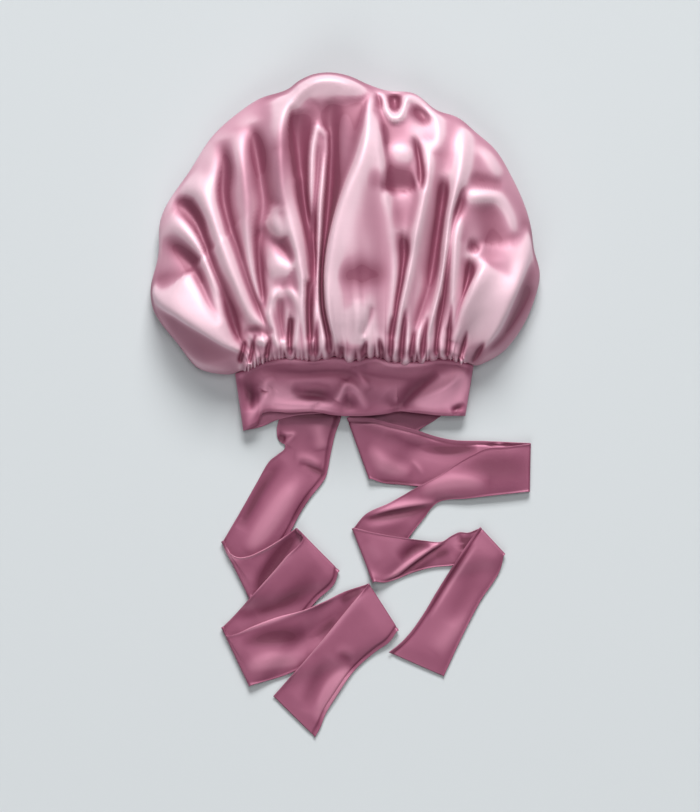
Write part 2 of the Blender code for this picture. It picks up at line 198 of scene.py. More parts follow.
crownOutline = (  # across (share of the width), up (share of the height, from the seam)
    (-0.282, -0.040), (-0.316, -0.060), (-0.355, -0.047), (-0.433, 0.061), (-0.495, 0.188),
    (-0.499, 0.226), (-0.479, 0.366), (-0.473, 0.488), (-0.395, 0.664), (-0.332, 0.790),
    (-0.277, 0.856), (-0.218, 0.909), (-0.144, 0.944), (-0.118, 0.971), (-0.080, 0.994),
    (-0.037, 1.000), (0.005, 0.990), (0.062, 0.957), (0.104, 0.938), (0.172, 0.929),
    (0.240, 0.866), (0.285, 0.846), (0.338, 0.789), (0.379, 0.741), (0.428, 0.636),
    (0.478, 0.456), (0.484, 0.390), (0.500, 0.296), (0.486, 0.207), (0.424, 0.053),
    (0.387, 0.002), (0.350, -0.031), (0.331, -0.020),
)
crownProfile = (  # reach (share of the way to the outline), height (share of the loft)
    (0.000, 0.00), (0.002, 0.20), (0.006, 0.46), (0.018, 0.68), (0.050, 0.81), (0.140, 0.89), (0.350, 0.97),
    (0.580, 1.00), (0.740, 0.94), (0.870, 0.79), (0.950, 0.57), (1.000, 0.30), (0.985, 0.12),
    (0.940, 0.03), (0.870, 0.00),
)
seamLine = (  # across (share of the seam's width), up (share of the band's height)
    (-0.500, -0.250), (-0.425, -0.120), (-0.354, 0.000), (-0.270, 0.046), (-0.186, 0.000),
    (-0.069, 0.065), (-0.006, 0.000), (0.082, 0.074), (0.165, -0.028), (0.270, -0.020),
    (0.362, 0.037), (0.430, 0.000), (0.500, -0.100),
)

# A fold is its name, how peaked it is (2 round, 1 sharp), its width, and rows as if walking down it. A row
# is across and down in the photograph and the rise in mm. Then it may have its own width, or widths at its
# left and its right hand, and its lean to the left in mm.
crownFolds = (
    ("outerCrest", 1.1, 4, (152, 284, 4, 10, 4), (160, 297, 12, 26, 6, -3), (182, 313, 17, 32, 7, -4),
        (207, 329, 17, 30, 7, -4), (228, 343, 13, 20, 6, -3), (246, 354, 6, 8, 5, -1)),
    ("nook", 1.3, 4, (151, 276, 1), (153, 288, 3), (156, 298, 1, 3)),
    ("rimLine", 1.4, 5, (158, 315, 1, 5, 4), (166, 335, 2.5, 5, 4), (182, 353, 2.5, 5, 4),
        (205, 367, 2, 5, 4), (233, 371, 1, 4, 3)),
    ("leftDent", 1.6, 4, (164, 234, -2, 12, 9), (178, 250, -8, 13, 9), (193, 266, -10, 12, 8),
        (203, 282, -9, 9, 6), (213, 303, -6, 6, 5), (224, 322, -3)),
    ("leftStrip", 1.8, 6, (170, 214, 1), (182, 228, 3, 7), (197, 246, 4), (210, 270, 3, 5),
        (222, 295, 2, 4)),
    ("leftCrease", 1.5, 6, (170, 198, -3, 7, 8), (184, 206, -12, 9, 10), (196, 220, -13, 8, 9),
        (205, 242, -9, 6, 5), (215, 268, -8, 5, 4), (226, 294, -10, 8, 6), (234, 318, -14, 9, 7),
        (241, 338, -12), (250, 354, -6, 4)),
    ("leftBrow", 2.0, 7, (176, 190, 3, 14, 7), (196, 190, 7, 16, 8), (209, 212, 8, 13, 7),
        (222, 245, 7, 11, 7), (236, 280, 6, 10, 7), (249, 312, 5, 9, 6), (266, 336, 3, 7, 5)),
    ("sideValley", 1.8, 9, (222, 138, -4), (226, 165, -9, 9, 8), (224, 195, -11, 9, 8),
        (230, 225, -9, 8), (240, 252, -7, 6, 7), (249, 280, -7, 4, 6), (261, 312, -5, 3, 4),
        (276, 340, -3, 3)),
    ("sideRidge", 2.0, 9, (240, 130, 2, 9, 8), (240, 150, 4), (245, 180, 5, 10, 9), (247, 210, 5),
        (249, 240, 5, 7), (253, 270, 4, 5), (262, 305, 3, 3)),
    ("innerValley", 1.7, 9, (252, 122, -5, 9, 8), (257, 150, -11, 10, 9), (262, 180, -12, 10),
        (265, 205, -12), (260, 235, -11, 9, 8), (260, 265, -11, 8, 7), (263, 292, -9, 5),
        (268, 315, -4, 4)),
    ("hookValley", 1.8, 8, (262, 228, -3), (274, 242, -5), (286, 253, -4), (296, 266, -2, 6)),
    ("elbow", 2.0, 8, (276, 205, 2), (275, 222, 5, 9, 8), (283, 240, 3, 7)),
    ("hookPuff", 2.0, 9, (268, 272, 2), (281, 268, 4, 11), (292, 274, 3)),
    ("archRim", 1.9, 8, (277, 215, 4, 11, 9), (279, 185, 6, 12, 10), (280, 155, 8, 12, 10),
        (282, 125, 11, 13, 10), (289, 100, 15, 14, 12, -2), (301, 84, 19, 10, 16, -2), (318, 77, 21, 9, 18),
        (336, 78, 20, 9, 18), (353, 87, 16, 9, 14), (368, 98, 10)),
    ("archLower", 2.0, 9, (280, 150, 3, 11, 9), (284, 185, 5, 11, 9), (289, 215, 6, 10, 8),
        (296, 245, 7, 9, 7), (303, 275, 7, 6, 7), (307, 305, 7, 4, 6), (309, 340, 4, 3, 4)),
    ("basin", 2.0, 22, (322, 100, -5, 26, 24), (320, 140, -7), (320, 190, -7, 18, 20),
        (320, 240, -8, 12, 14), (321, 290, -6, 9, 10), (323, 340, -4, 6)),
    ("hollow", 1.8, 7, (300, 108, -6, 14, 8), (299, 135, -11, 12, 7), (301, 165, -13, 9, 7),
        (304, 195, -15), (310, 228, -17, 6), (314, 256, -15, 4, 6), (314, 290, -8, 3, 4),
        (316, 320, -3, 2, 3)),
    ("hollowFoot", 1.6, 3, (308, 280, -6), (309, 310, -16, 4, 3), (311, 342, -8)),
    ("hollowSide", 1.3, 3, (291, 106, -3), (292, 125, -6), (295, 150, -5), (298, 180, -4)),
    ("thinFold", 1.3, 3, (317, 338, 4), (315, 295, 6), (312, 250, 7), (310, 215, 7), (311, 175, 6),
        (313, 145, 5), (318, 128, 4), (323, 127, 4), (327, 143, 5), (325, 170, 6), (321, 205, 7),
        (319, 240, 8), (318, 270, 8), (320, 305, 8), (327, 345, 4)),
    ("thinSlit", 1.5, 2, (319, 145, -2), (318, 175, -4), (316, 205, -4), (315, 240, -4)),
    ("darkValley", 2.0, 10, (331, 95, -5), (331, 130, -8, 9, 8), (331, 165, -12, 9, 8),
        (330, 200, -14, 8, 7), (328, 235, -15, 6), (324, 270, -16, 5), (323, 305, -15, 4),
        (329, 340, -8, 3)),
    ("leafEdge", 1.3, 5, (372, 88, 6, 5, 4), (370, 108, 10, 6, 5, -1), (368, 132, 12, 9, 8, -1),
        (362, 160, 13, 12, 9, -2), (350, 190, 14, 14, 6, -3), (341, 215, 15, 15, 5, -4),
        (334, 245, 16, 16, 5, -5), (330, 275, 16, 16, 4, -5), (330, 300, 16, 14, 4, -4),
        (333, 325, 13, 11, 4, -3), (339, 347, 7, 5, 3, -1)),
    ("leafBody", 2.0, 10, (372, 130, 2), (367, 170, 5, 12), (362, 210, 8, 18, 16), (360, 250, 9, 20),
        (360, 290, 9, 20), (358, 325, 7, 16, 15), (357, 346, 3)),
    ("leafDent", 2.0, 16, (334, 278, -0.6), (361, 277, -2.0, 18), (388, 278, -0.6)),
    ("leafTuck", 1.6, 3, (372, 306, -1), (369, 320, -3), (363, 338, -3)),
    ("leafShine", 2.0, 7, (358, 300, 0.6), (358, 320, 1.6), (355, 344, 0.6, 5)),
    ("leafRight", 1.5, 5, (376, 112, 5, 4, 8), (379, 140, 8, 4, 11), (383, 170, 9, 4, 13),
        (386, 195, 7, 5, 13), (390, 225, 5, 8, 11), (395, 260, 4, 8, 9), (394, 300, 4, 6, 7),
        (388, 335, 3)),
    ("shelf", 1.6, 8, (386, 150, 1, 8, 12), (399, 153, 4, 9, 14), (413, 158, 2, 8, 10)),
    ("shelfFoot", 1.6, 4, (380, 190, -3, 14, 4), (392, 191, -5, 16, 4), (404, 190, -5, 14, 4),
        (416, 187, -3, 11, 4)),
    ("backValley", 1.5, 6, (400, 232, -3), (404, 250, -9), (402, 275, -9, 4), (397, 305, -9, 3),
        (392, 340, -5, 3)),
    ("curlLip", 1.3, 3, (374, 88, 2), (381, 94, 6), (385, 104, 8), (388, 114, 8), (394, 121, 8),
        (400, 118, 8), (403, 108, 8), (407, 99, 8, 4, 3), (416, 97, 7, 5, 4), (427, 104, 7, 6, 5),
        (436, 118, 7, 7, 6), (438, 135, 7, 8, 7), (435, 155, 3, 8)),
    ("curlPocket", 2.0, 6, (394, 90, -6), (395, 103, -10), (395, 112, -7, 5)),
    ("curlDent", 1.6, 3, (378, 94, -2), (380, 101, -5), (380, 110, -2)),
    ("rightArch", 2.0, 6, (412, 108, -3), (420, 115, -6, 7), (428, 124, -3)),
    ("ridgeEight", 1.6, 9, (430, 140, 5, 9, 8), (428, 165, 8, 8, 9), (425, 190, 9, 7, 8),
        (418, 225, 9, 7, 8), (411, 255, 8, 7, 5), (405, 285, 8, 6, 4), (399, 315, 7, 5, 4),
        (395, 342, 4, 4, 3)),
    ("nick", 1.4, 3, (414, 138, -3), (418, 155, -7), (421, 175, -7), (421, 193, -3)),
    ("valleyNine", 2.0, 6, (444, 176, -4), (443, 195, -12), (440, 220, -13, 6, 7),
        (436, 245, -13, 6, 8), (432, 268, -12, 7, 8), (427, 290, -8, 7, 6), (418, 318, -6, 5),
        (411, 343, -3, 3)),
    ("ridgeNine", 1.7, 3, (465, 118, 4, 9, 8), (464, 140, 7, 9), (461, 165, 8, 9, 8),
        (456, 190, 9, 6, 8), (450, 215, 10, 4, 7), (446, 245, 10, 4, 5), (442, 275, 9, 3, 4),
        (437, 300, 7, 3, 4), (430, 325, 5), (424, 346, 3)),
    ("slitNine", 1.4, 2, (463, 185, -5, 4, 3), (458, 203, -9, 5, 3), (451, 225, -7, 4, 3),
        (447, 255, -6, 3, 2), (444, 285, -6, 3, 2), (441, 315, -5, 3, 2), (437, 340, -3)),
    ("ridgeTen", 1.8, 6, (459, 214, 3, 6, 5), (455, 240, 6, 6, 5), (453, 270, 6, 6, 5),
        (452, 295, 5, 5, 4), (447, 330, 3, 4, 3)),
    ("slitTen", 1.5, 3, (470, 258, -6, 6, 5), (468, 275, -10, 6, 4), (465, 292, -9, 4, 3),
        (457, 315, -6), (450, 340, -3)),
    ("rightDent", 2.2, 13, (487, 200, -2), (488, 220, -4, 15), (489, 240, -4.5, 15), (488, 262, -2)),
    ("smallDent", 2.0, 5, (466, 246, -2), (472, 248, -5, 6), (478, 252, -3)),
    ("rightBrow", 1.8, 7, (462, 200, 3, 6, 7), (478, 197, 5, 6, 8), (496, 198, 5, 6, 8), (507, 212, 4),
        (516, 236, 4)),
    ("rightKnee", 1.2, 6, (487, 262, 7, 16, 6), (475, 280, 12, 20, 4, -1), (464, 300, 12, 20, 4, -1),
        (456, 320, 9, 14, 4), (450, 342, 4, 7, 3)),
    ("rightCrest", 1.15, 7, (524, 226, 3, 7, 9), (528, 246, 10, 6, 18, 1), (520, 272, 13, 6, 22, 2),
        (507, 303, 13, 6, 20, 2), (494, 332, 10, 5, 12, 1), (481, 352, 4, 4, 5)),
    ("rightTuck", 1.5, 6, (532, 285, -2), (518, 312, -4, 7, 6), (503, 336, -4, 6, 5),
        (487, 352, -3, 4)),
    ("topFacet", 1.8, 6, (474, 146, 1), (488, 158, 3, 7), (500, 178, 2)),
    ("topDip", 1.8, 6, (470, 178, -2), (486, 183, -3, 7), (502, 188, -1)),
    ("lensLeft", 1.7, 5, (283, 288, 2), (273, 298, 4), (269, 315, 4), (273, 335, 3, 4),
        (281, 350, 2, 3)),
    ("lensRight", 1.7, 5, (283, 288, 2), (294, 296, 4), (299, 312, 4), (297, 330, 3, 4),
        (293, 350, 2, 3)),
    ("lensCrease", 1.6, 4, (281, 298, -2), (281, 318, -5), (285, 342, -4, 3)),
    ("lensCreaseTwo", 1.4, 3, (292, 318, -3), (291, 332, -6), (290, 347, -3, 2)),
    ("budShade", 1.8, 5, (244, 331, -2), (258, 330, -4), (272, 337, -2)),
    ("seamBud", 1.6, 4, (253, 343, 2), (260, 341, 5, 5), (268, 346, 2)),
)

crownPaintedShading = (  # painted shade and painted highlight: how much darker (or, where negative, lighter) the satin is painted, where the rise would stand
    ("outerLobe", 1.8, 6, (160, 318, 0.2, 7, 9), (182, 338, 0.2, 9, 12), (208, 353, 0.25, 9, 12),
        (232, 362, 0.25)),
    ("leftFacet", 2.0, 9, (168, 272, -0.3, 10, 9), (190, 296, -0.45, 11), (216, 322, -0.4),
        (240, 347, -0.3, 4)),
    ("leftRim", 2.0, 9, (172, 186, -0.25), (192, 165, -0.35, 10, 12), (212, 142, -0.3)),
    ("leftPocket", 1.8, 6, (176, 203, 0.4), (192, 216, 0.5, 8, 6), (203, 236, 0.35, 5)),
    ("leftPocketTwo", 1.8, 8, (174, 244, 0.15), (192, 262, 0.3), (205, 284, 0.25, 6)),
    ("leftPocketThree", 1.8, 6, (225, 298, 0.35), (234, 322, 0.5), (240, 338, 0.4, 4)),
    ("archInside", 2.0, 8, (300, 100, 0.2, 8, 12), (320, 88, 0.3, 7, 16), (334, 96, 0.3, 7, 14)),
    ("hollow", 1.8, 4, (297, 110, 0.35, 8), (298, 150, 0.9, 10, 9), (304, 200, 0.9, 8, 7),
        (312, 250, 0.6, 4, 5), (311, 300, 0.6), (310, 338, 0.6)),
    ("valley", 1.8, 5, (331, 110, 0.25, 7, 6), (331, 160, 0.3, 7, 6), (330, 200, 0.35, 7, 6),
        (326, 250, 0.45), (324, 300, 0.5, 4), (328, 338, 0.5, 3)),
    ("leafLight", 2.0, 9, (358, 165, -0.2, 7, 5), (350, 205, -0.35, 9, 7), (342, 240, -0.3, 9, 6),
        (336, 290, -0.35, 7, 4), (342, 325, -0.4, 9, 6), (356, 340, -0.3)),
    ("leafDent", 2.0, 12, (330, 280, 0.3), (346, 277, 0.7, 14), (361, 275, 0.95, 15),
        (376, 277, 0.7, 14), (392, 280, 0.3)),
    ("leafGlow", 2.0, 15, (358, 306, -0.6, 12), (356, 328, -1.6), (355, 350, -1.2)),
    ("shelf", 2.8, 8, (366, 183, 0.85, 12, 8), (398, 180, 0.85, 13, 9), (430, 172, 0.7, 10, 8)),
    ("edge", 1.8, 4, (381, 122, 0.3), (386, 150, 0.35, 5, 4)),
    ("lowCavity", 1.8, 3, (402, 238, 0.4, 6), (403, 258, 0.4, 5), (397, 300, 0.4), (391, 340, 0.35)),
    ("cavityLight", 2.0, 9, (394, 198, 0.1), (397, 218, 0.35, 10), (398, 240, 0.2, 8)),
    ("upperLight", 2.0, 7, (404, 132, -0.2), (420, 134, -0.2), (430, 155, -0.1, 8, 7)),
    ("valleyNine", 1.9, 6, (444, 185, 0.3), (440, 220, 0.05, 6, 7), (435, 255, 0.02, 6, 7),
        (428, 288, 0.1)),
    ("ridgeNine", 1.9, 9, (466, 128, -0.7, 8, 9), (464, 155, -1.1), (458, 190, -0.7, 7, 8)),
    ("rightDent", 2.2, 13, (487, 206, 0.05), (489, 230, 0.08), (489, 252, 0.1, 11)),
    ("kneeCrease", 1.8, 5, (470, 264, 0.4), (467, 284, 0.4, 4), (462, 300, 0.3, 3)),
    ("kneeLight", 2.2, 14, (502, 262, -0.4, 9), (492, 292, -1.3), (482, 316, -1.3),
        (472, 348, -0.7, 9)),
    ("crestLight", 1.8, 3, (524, 248, -0.3, 3, 6), (512, 286, -0.35, 3, 6), (494, 322, -0.3, 3, 6)),
    ("rightLobe", 1.8, 7, (533, 272, 0.2, 7, 5), (522, 306, 0.3, 9, 5), (504, 334, 0.3, 8, 4)),
    ("archShade", 2.0, 9, (280, 235, 0.5, 12, 9), (282, 160, 1.6, 12, 10), (288, 92, 0.5, 11, 8)),
    ("sideShade", 2.0, 9, (242, 125, 0.4), (247, 190, 1.2, 10), (249, 265, 0.5, 8)),
    ("ridgeEight", 2.0, 8, (428, 150, 0.2), (425, 185, 0.6, 9), (412, 250, 0.3)),
    ("leafLine", 1.5, 3, (358, 175, -0.4, 3, 2), (337, 232, -0.9, 3, 2), (331, 290, -1.1, 3, 2),
        (339, 350, -0.6, 3, 2)),
    ("innerLight", 2.0, 8, (254, 140, -0.3), (264, 190, -0.9, 9), (262, 270, -0.4, 7)),
    ("lowLight", 2.0, 9, (270, 338, -0.2), (300, 338, -0.15), (400, 338, -0.15), (440, 336, -0.25),
        (480, 336, -0.3)),
)

rootCreases = (  # from and to, in the photograph: the creases that run into the seam
    (246, 340, 240, 364), (256, 334, 250, 364), (271, 336, 266, 364), (290, 312, 291, 364),
    (307, 296, 312, 366), (317, 314, 316, 366), (326, 308, 330, 366), (342, 346, 337, 366),
    (367, 338, 360, 366), (379, 338, 382, 366), (392, 316, 390, 366), (405, 308, 400, 364),
    (414, 330, 409, 364), (427, 316, 420, 364), (440, 292, 434, 364), (451, 300, 446, 364),
    (467, 330, 458, 364), (484, 342, 471, 364),
)
crownFolds += tuple(
    ("rootCrease", 1.5, 2, (a, b, -1), ((a + c) / 2, (b + d) / 2, -5, 2.4), (c, d, -5, 2.4))
    for a, b, c, d in rootCreases
)
# and a painted shade along each of them
crownPaintedShading += tuple(
    ("rootCrease", 1.6, 2, (a, b, 0.4), ((a + c) / 2, (b + d) / 2, 1.1, 2.4), (c, d, 1.1, 2.8))
    for a, b, c, d in rootCreases
)


def seamLoop(across):
    x = seam["offset"] + across * seam["width"]
    return np.stack([x, seam["y"] + bandSize["height"] * levelAt(seamLine, across)], axis=-1)


def pleatPattern(shares, least, most):  # gathers of uneven width, height, length and lean
    edges = [0.0]
    while edges[-1] < 1.0:
        edges.append(edges[-1] + least + (most - least) * rng.random() ** 2)
    edges = np.array(edges)
    k = np.clip(np.searchsorted(edges, shares, side="right") - 1, 0, len(edges) - 2)
    wide = np.diff(edges)
    t = (shares - edges[k]) / wide[k]
    size = rng.uniform(*gathering["size"], len(wide))
    size = size * np.clip(wide / (0.5 * (least + most)), *gathering["widthCounts"])
    length = rng.uniform(*gathering["length"], len(wide))
    lean = rng.uniform(-1.0, 1.0, len(wide))
    skew = rng.uniform(*gathering["skew"], len(wide))[k]
    bump = np.sin(math.pi * t**skew) ** gathering["blunt"]
    return (bump - 0.5) * size[k], length[k], lean[k] * bump


def gathers(kind, shares, onFront, between):  # their wave, lean and fading, and the painted shade in their hollows
    wave, length, lean = pleatPattern(shares, kind["least"], kind["most"])
    fade = smooth(onFront / kind["start"]) * np.exp(-((onFront / (kind["reach"] * length[:, None])) ** 2))
    dark = kind["dark"] * between * np.clip(-wave[:, None] - kind["under"], 0.0, 1.0) * fade
    return wave[:, None], lean[:, None], fade, dark


def paintedCreaseShading(height, depth, fine):  # painted shading from the cloth's relief: 0, painted highlight, on a ridge, a half where the cloth is level, 1, painted shade, in a crease
    tone = np.full(height.shape, 0.5)
    for rounds, share, limit in (
        (creasing["wideRounds"], 1.0, creasing["wideLimit"]),
        (creasing["fineRounds"], fine, creasing["fineLimit"]),
    ):
        tone += np.clip((blurred(height, rounds) - height) / (2 * depth) * share, -limit, limit)
    return tone


def drift(shape):  # smooth random values between -1 and 1, read between a few knots each way
    knots = rng.uniform(-1.0, 1.0, shape)

    def read(rows, columns):
        x = np.clip(rows, 0.0, 1.0) * (shape[0] - 1)
        y = np.clip(columns, 0.0, 1.0) * (shape[1] - 1)
        i = np.minimum(x.astype(int), shape[0] - 2)
        j = np.minimum(y.astype(int), shape[1] - 2)
        s, t = smooth(x - i), smooth(y - j)
        return (
            (1 - s) * (1 - t) * knots[i, j] + s * (1 - t) * knots[i + 1, j]
            + (1 - s) * t * knots[i, j + 1] + s * t * knots[i + 1, j + 1]
        )

    return read


def streaks(shares, reach):  # fine wrinkles that run from the seam outwards
    shares = np.repeat(shares[:, None], reach.shape[1], axis=1)
    reach = np.repeat(reach, len(shares), axis=0)
    lift = np.zeros(reach.shape)
    for count, knots, depth, far in wrinkles["layers"]:
        read = drift((count, knots))
        fade = np.exp(-((reach / far) ** 2))
        lift += depth * read(shares, reach) * fade * smooth(reach / wrinkles["start"])
    return lift


def crownRows():  # for each row of cloth its share of the way to the outline, and of the loft
    brow, crowd = crown["brow"], crown["rowCrowd"]
    steps = np.linspace(0.0, brow, crown["frontRows"]) ** (1 + crowd) / brow**crowd
    squash = (1.0, crown["flatten"])
    flatter = np.array(crownProfile) * squash
    front = through(flatter, steps) / squash
    under = through(flatter, np.linspace(brow, 1.0, crown["underRows"] + 1)[1:]) / squash
    flat = np.linspace(crownProfile[-1][0], 0.0, crown["backRows"] + 1)[1:]
    reach = np.concatenate([front[:, 0], under[:, 0], flat])[None]
    return reach, np.concatenate([front[:, 1], under[:, 1], np.zeros(len(flat))])[None]


def crownBag(shares, between, reach, profile):  # its places and heights before it is folded
    frontCount = crown["frontRows"]
    crowded = -np.cos(math.pi * shares)
    place = seam["half"] * ((1 - seam["crowd"]) * (2 * shares - 1) + seam["crowd"] * crowded)
    root = seamLoop(place)
    rim = through(crownOutline, shares + crown["rimCrowd"] * np.sin(2 * math.pi * shares))
    rim = rim * (crown["width"], crown["height"]) + (0.0, seam["y"])
    bend = root.copy()
    bend[:, 1] += crown["rootRise"] * np.linalg.norm(rim - root, axis=1) * between[:, 0]
    t = np.clip(reach, 0.0, 1.0)[..., None]
    plan = (1 - t) ** 2 * root[:, None] + 2 * t * (1 - t) * bend[:, None] + t**2 * rim[:, None]

    middle = np.sin(math.pi * shares) ** crown["loftPower"]
    loft = crown["loft"] * (crown["sideLoft"] + (1 - crown["sideLoft"]) * middle)[:, None]
    height = loft * profile
    height[:, :frontCount] += seam["depth"] * (1 - reach[:, :frontCount]) ** 3

    # at the seam's two ends the cloth turns round the side of the band instead
    over = np.linspace(math.pi / 2, 0.0, frontCount)
    turn = np.concatenate([over, np.linspace(0.0, -math.pi / 2, reach.shape[1] - frontCount + 1)[1:]])[None]
    side = np.where(shares < 0.5, -1.0, 1.0)
    bulge = side[:, None] * (seam["half"] + seam["depth"] / 2 / seam["width"] * np.cos(turn))
    plan = between[..., None] * plan + (1 - between[..., None]) * seamLoop(bulge)
    plan[..., 1] += seam["gap"] / 2
    return plan, between * height + (1 - between) * seam["depth"] / 2 * (1 + np.sin(turn))


def crownGrid():
    shares = np.linspace(0.0, 1.0, crown["columns"])
    between = smooth((0.5 - np.abs(shares - 0.5)) / crown["corner"])[:, None]  # 0 at the seam's two ends
    reach, profile = crownRows()
    plan, height = crownBag(shares, between, reach, profile)
    onFront = reach.copy()
    onFront[:, crown["frontRows"]:] = 1.0

    start, width = crown["foldStart"]  # the folds begin just off the seam, and end before the rim
    loose = between * smooth((onFront - start) / width) * smooth((1 - onFront) / crown["foldEnd"])
    lift, shift = foldShape(plan, crownFolds, crown["foldEnding"])
    lift = blurred(lift, crown["foldRounds"], both=False)
    rise = lift * loose + between * streaks(shares, onFront)
    plan = plan + shift * loose[..., None]

    wave, lean, fade, dark = gathers(flutes, shares, onFront, between)
    rise = rise + flutes["height"] * between * wave * fade
    wave, lean, fade, pleatPaintedShade = gathers(pleats, shares, onFront, between)
    rise = rise + pleats["height"] * between * wave * fade
    swell = crown["swell"] * between * smooth(onFront / crown["swellStart"])
    swell = swell * np.exp(-((onFront / crown["swellReach"]) ** 2))
    plan[..., 1] -= swell * (crown["swellLeast"] + crown["swellPleat"] * wave)
    plan[..., 0] += crown["hook"] * between * lean * fade * smooth(onFront / crown["hookStart"])
    # painted shade and painted highlight: the table, the gathers' painted shade and the painted relief
    # shading make the colour's tone
    shade, _ = foldShape(plan, crownPaintedShading, crown["shadeEnding"])
    shade = dark + pleatPaintedShade + crown["shading"] * shade * between
    tone = np.clip(paintedCreaseShading(rise, crown["creaseDepth"], crown["fineCreases"]) + shade, 0.0, 1.0)
    return np.concatenate([plan, (height + rise)[..., None]], axis=-1), tone


def sheetMesh(name, grid, tone, wall, offset, ring=False, flip=False):
    rows, columns = grid.shape[:2]
    last = columns if ring else columns - 1
    i, j = np.meshgrid(np.arange(rows - 1), np.arange(last), indexing="ij")
    k = (j + 1) % columns
    low, high = i * columns, (i + 1) * columns
    faces = np.stack([low + j, low + k, high + k, high + j], axis=-1).reshape(-1, 4)
    if flip:
        faces = faces[:, ::-1]
    mesh = bpy.data.meshes.new(name)
    mesh.from_pydata(grid.reshape(-1, 3).tolist(), [], faces.tolist())
    # the cloth's own lengths, along and across, for its weave
    uv = mesh.uv_layers.new(name="weave")
    steps = np.linalg.norm(np.diff(grid, axis=1), axis=2).mean(axis=0)
    across = np.concatenate([[0.0], np.cumsum(steps), [0.0]])
    steps = np.linalg.norm(np.diff(grid, axis=0), axis=2).mean(axis=1)
    down = np.concatenate([[0.0], np.cumsum(steps)])
    corners = [np.stack([across[j + x], down[i + y]], axis=-1) for x, y in ((0, 0), (1, 0), (1, 1), (0, 1))]
    corners = np.stack(corners, axis=2).reshape(-1, 4, 2)
    if flip:
        corners = corners[:, ::-1]
    uv.data.foreach_set("uv", corners.astype(np.float32).ravel())
    # the painted shade and painted highlight of each point, which the material turns into colour
    crease = mesh.attributes.new("crease", "FLOAT", "POINT")
    crease.data.foreach_set("value", tone.astype(np.float32).ravel())
    mesh.shade_smooth()
    piece = bpy.data.objects.new(name, mesh)
    bpy.context.scene.collection.objects.link(piece)
    thick = piece.modifiers.new("wall", "SOLIDIFY")
    thick.thickness = wall
    thick.offset = offset
    bpy.context.view_layer.objects.active = piece
    bpy.ops.object.modifier_apply(modifier=thick.name)
    return piece


bandFolds = (
    ("leftRoll", 1.5, 6, (244, 426, 1.5), (254, 412, 4, 7), (265, 398, 5, 8, 7), (266, 384, 3.5),
        (276, 379, 2)),
    ("leftNick", 1.3, 2, (259, 387, -0.8), (264, 391, -3), (270, 390, -0.8)),
    ("leftPanel", 1.8, 7, (242, 376, -2), (250, 394, -4), (250, 412, -2.5, 6)),
    ("topDip", 1.8, 7, (262, 371, -2, 7, 6), (300, 373, -4, 8, 7), (336, 371, -3.5),
        (372, 376, -3, 8, 9), (408, 379, -3, 8), (440, 370, -2, 5, 6)),
    ("leftDip", 2.0, 6, (290, 389, -1.5, 8, 7), (305, 393, -4, 9, 7), (322, 395, -4, 8, 7),
        (334, 400, -1.5)),
    ("lowerRoll", 1.6, 6, (266, 402, 1.5), (290, 405, 3, 6, 5), (318, 406, 3, 6, 5),
        (342, 410, 1.5, 5, 4)),
    ("peakLeft", 1.3, 4, (346, 380, 2.5), (342, 390, 4, 5, 4), (336, 401, 3, 5, 4)),
    ("peakRight", 1.6, 5, (346, 380, 2.5, 5, 4), (357, 391, 3.5, 6, 5), (368, 410, 1.5)),
    ("peakTop", 1.6, 5, (352, 366, 1, 5, 4), (360, 376, 2, 5, 4), (370, 390, 1)),
    ("peakBelow", 1.8, 6, (347, 392, -1, 4), (349, 402, -2.6), (350, 411, -1.5)),
    ("rightDip", 1.8, 8, (384, 394, -1), (397, 405, -4, 7), (412, 391, -4.5), (438, 373, -2.5, 6)),
    ("rightRoll", 1.6, 6, (404, 405, 1.5), (426, 399, 4.6, 8), (450, 386, 6, 9), (464, 371, 3.2, 7, 6)),
    ("cornerDip", 1.8, 4, (450, 411, -1.5), (458, 408, -4), (465, 403, -1.5, 3)),
    ("smallPleat", 1.4, 2, (310, 412, 0.6), (315, 406, -2), (320, 402, -0.6)),
)
bandPaintedShading = (  # painted shade and painted highlight: how much darker (or, where negative, lighter) the cloth is painted, where the rise would stand
    ("leftPanel", 2.0, 8, (244, 372, 0.35), (250, 392, 0.45), (250, 409, 0.3, 7)),
    ("top", 2.0, 5, (262, 369, 0.1, 5, 6), (300, 370, 0.15, 6, 7), (340, 368, 0.1, 6, 8)),
    ("oval", 2.0, 6, (302, 391, 0.25), (318, 392, 0.4, 8, 7), (332, 390, 0.25)),
    ("valley", 2.0, 7, (398, 406, 0.3, 7, 6), (408, 392, 0.35, 8), (425, 378, 0.35),
        (450, 365, 0.3, 4, 5)),
    ("corner", 1.6, 4, (452, 410, 0.4), (462, 405, 0.4)),
    ("leftLight", 2.0, 7, (266, 378, -0.5), (275, 394, -1.3, 10), (300, 405, -0.8, 6, 5),
        (334, 405, -0.35, 5, 4)),
    ("rightLight", 2.0, 6, (412, 405, -0.2), (434, 398, -1.8, 10), (450, 390, -2.1, 12),
        (470, 372, -0.8, 8)),
    ("rim", 2.0, 3, (264, 359, -0.3), (300, 359, -0.4), (336, 359, -0.3)),
    ("rimTwo", 2.0, 4, (366, 364, -0.2), (400, 364, -0.4), (436, 363, -0.3)),
)
frontEdge = (
    (-0.500, -1.310), (-0.445, -1.215), (-0.380, -0.950), (-0.280, -0.970), (-0.190, -0.950),
    (-0.086, -1.020), (0.036, -1.035), (0.140, -0.995), (0.198, -0.950), (0.288, -0.980),
    (0.388, -1.025), (0.500, -1.030),
)
backEdge = (
    (-0.500, -1.310), (-0.430, -1.250), (-0.346, -1.110), (-0.250, -1.020), (-0.086, -0.980),
    (0.200, -0.950), (0.400, -0.990), (0.500, -1.030),
)


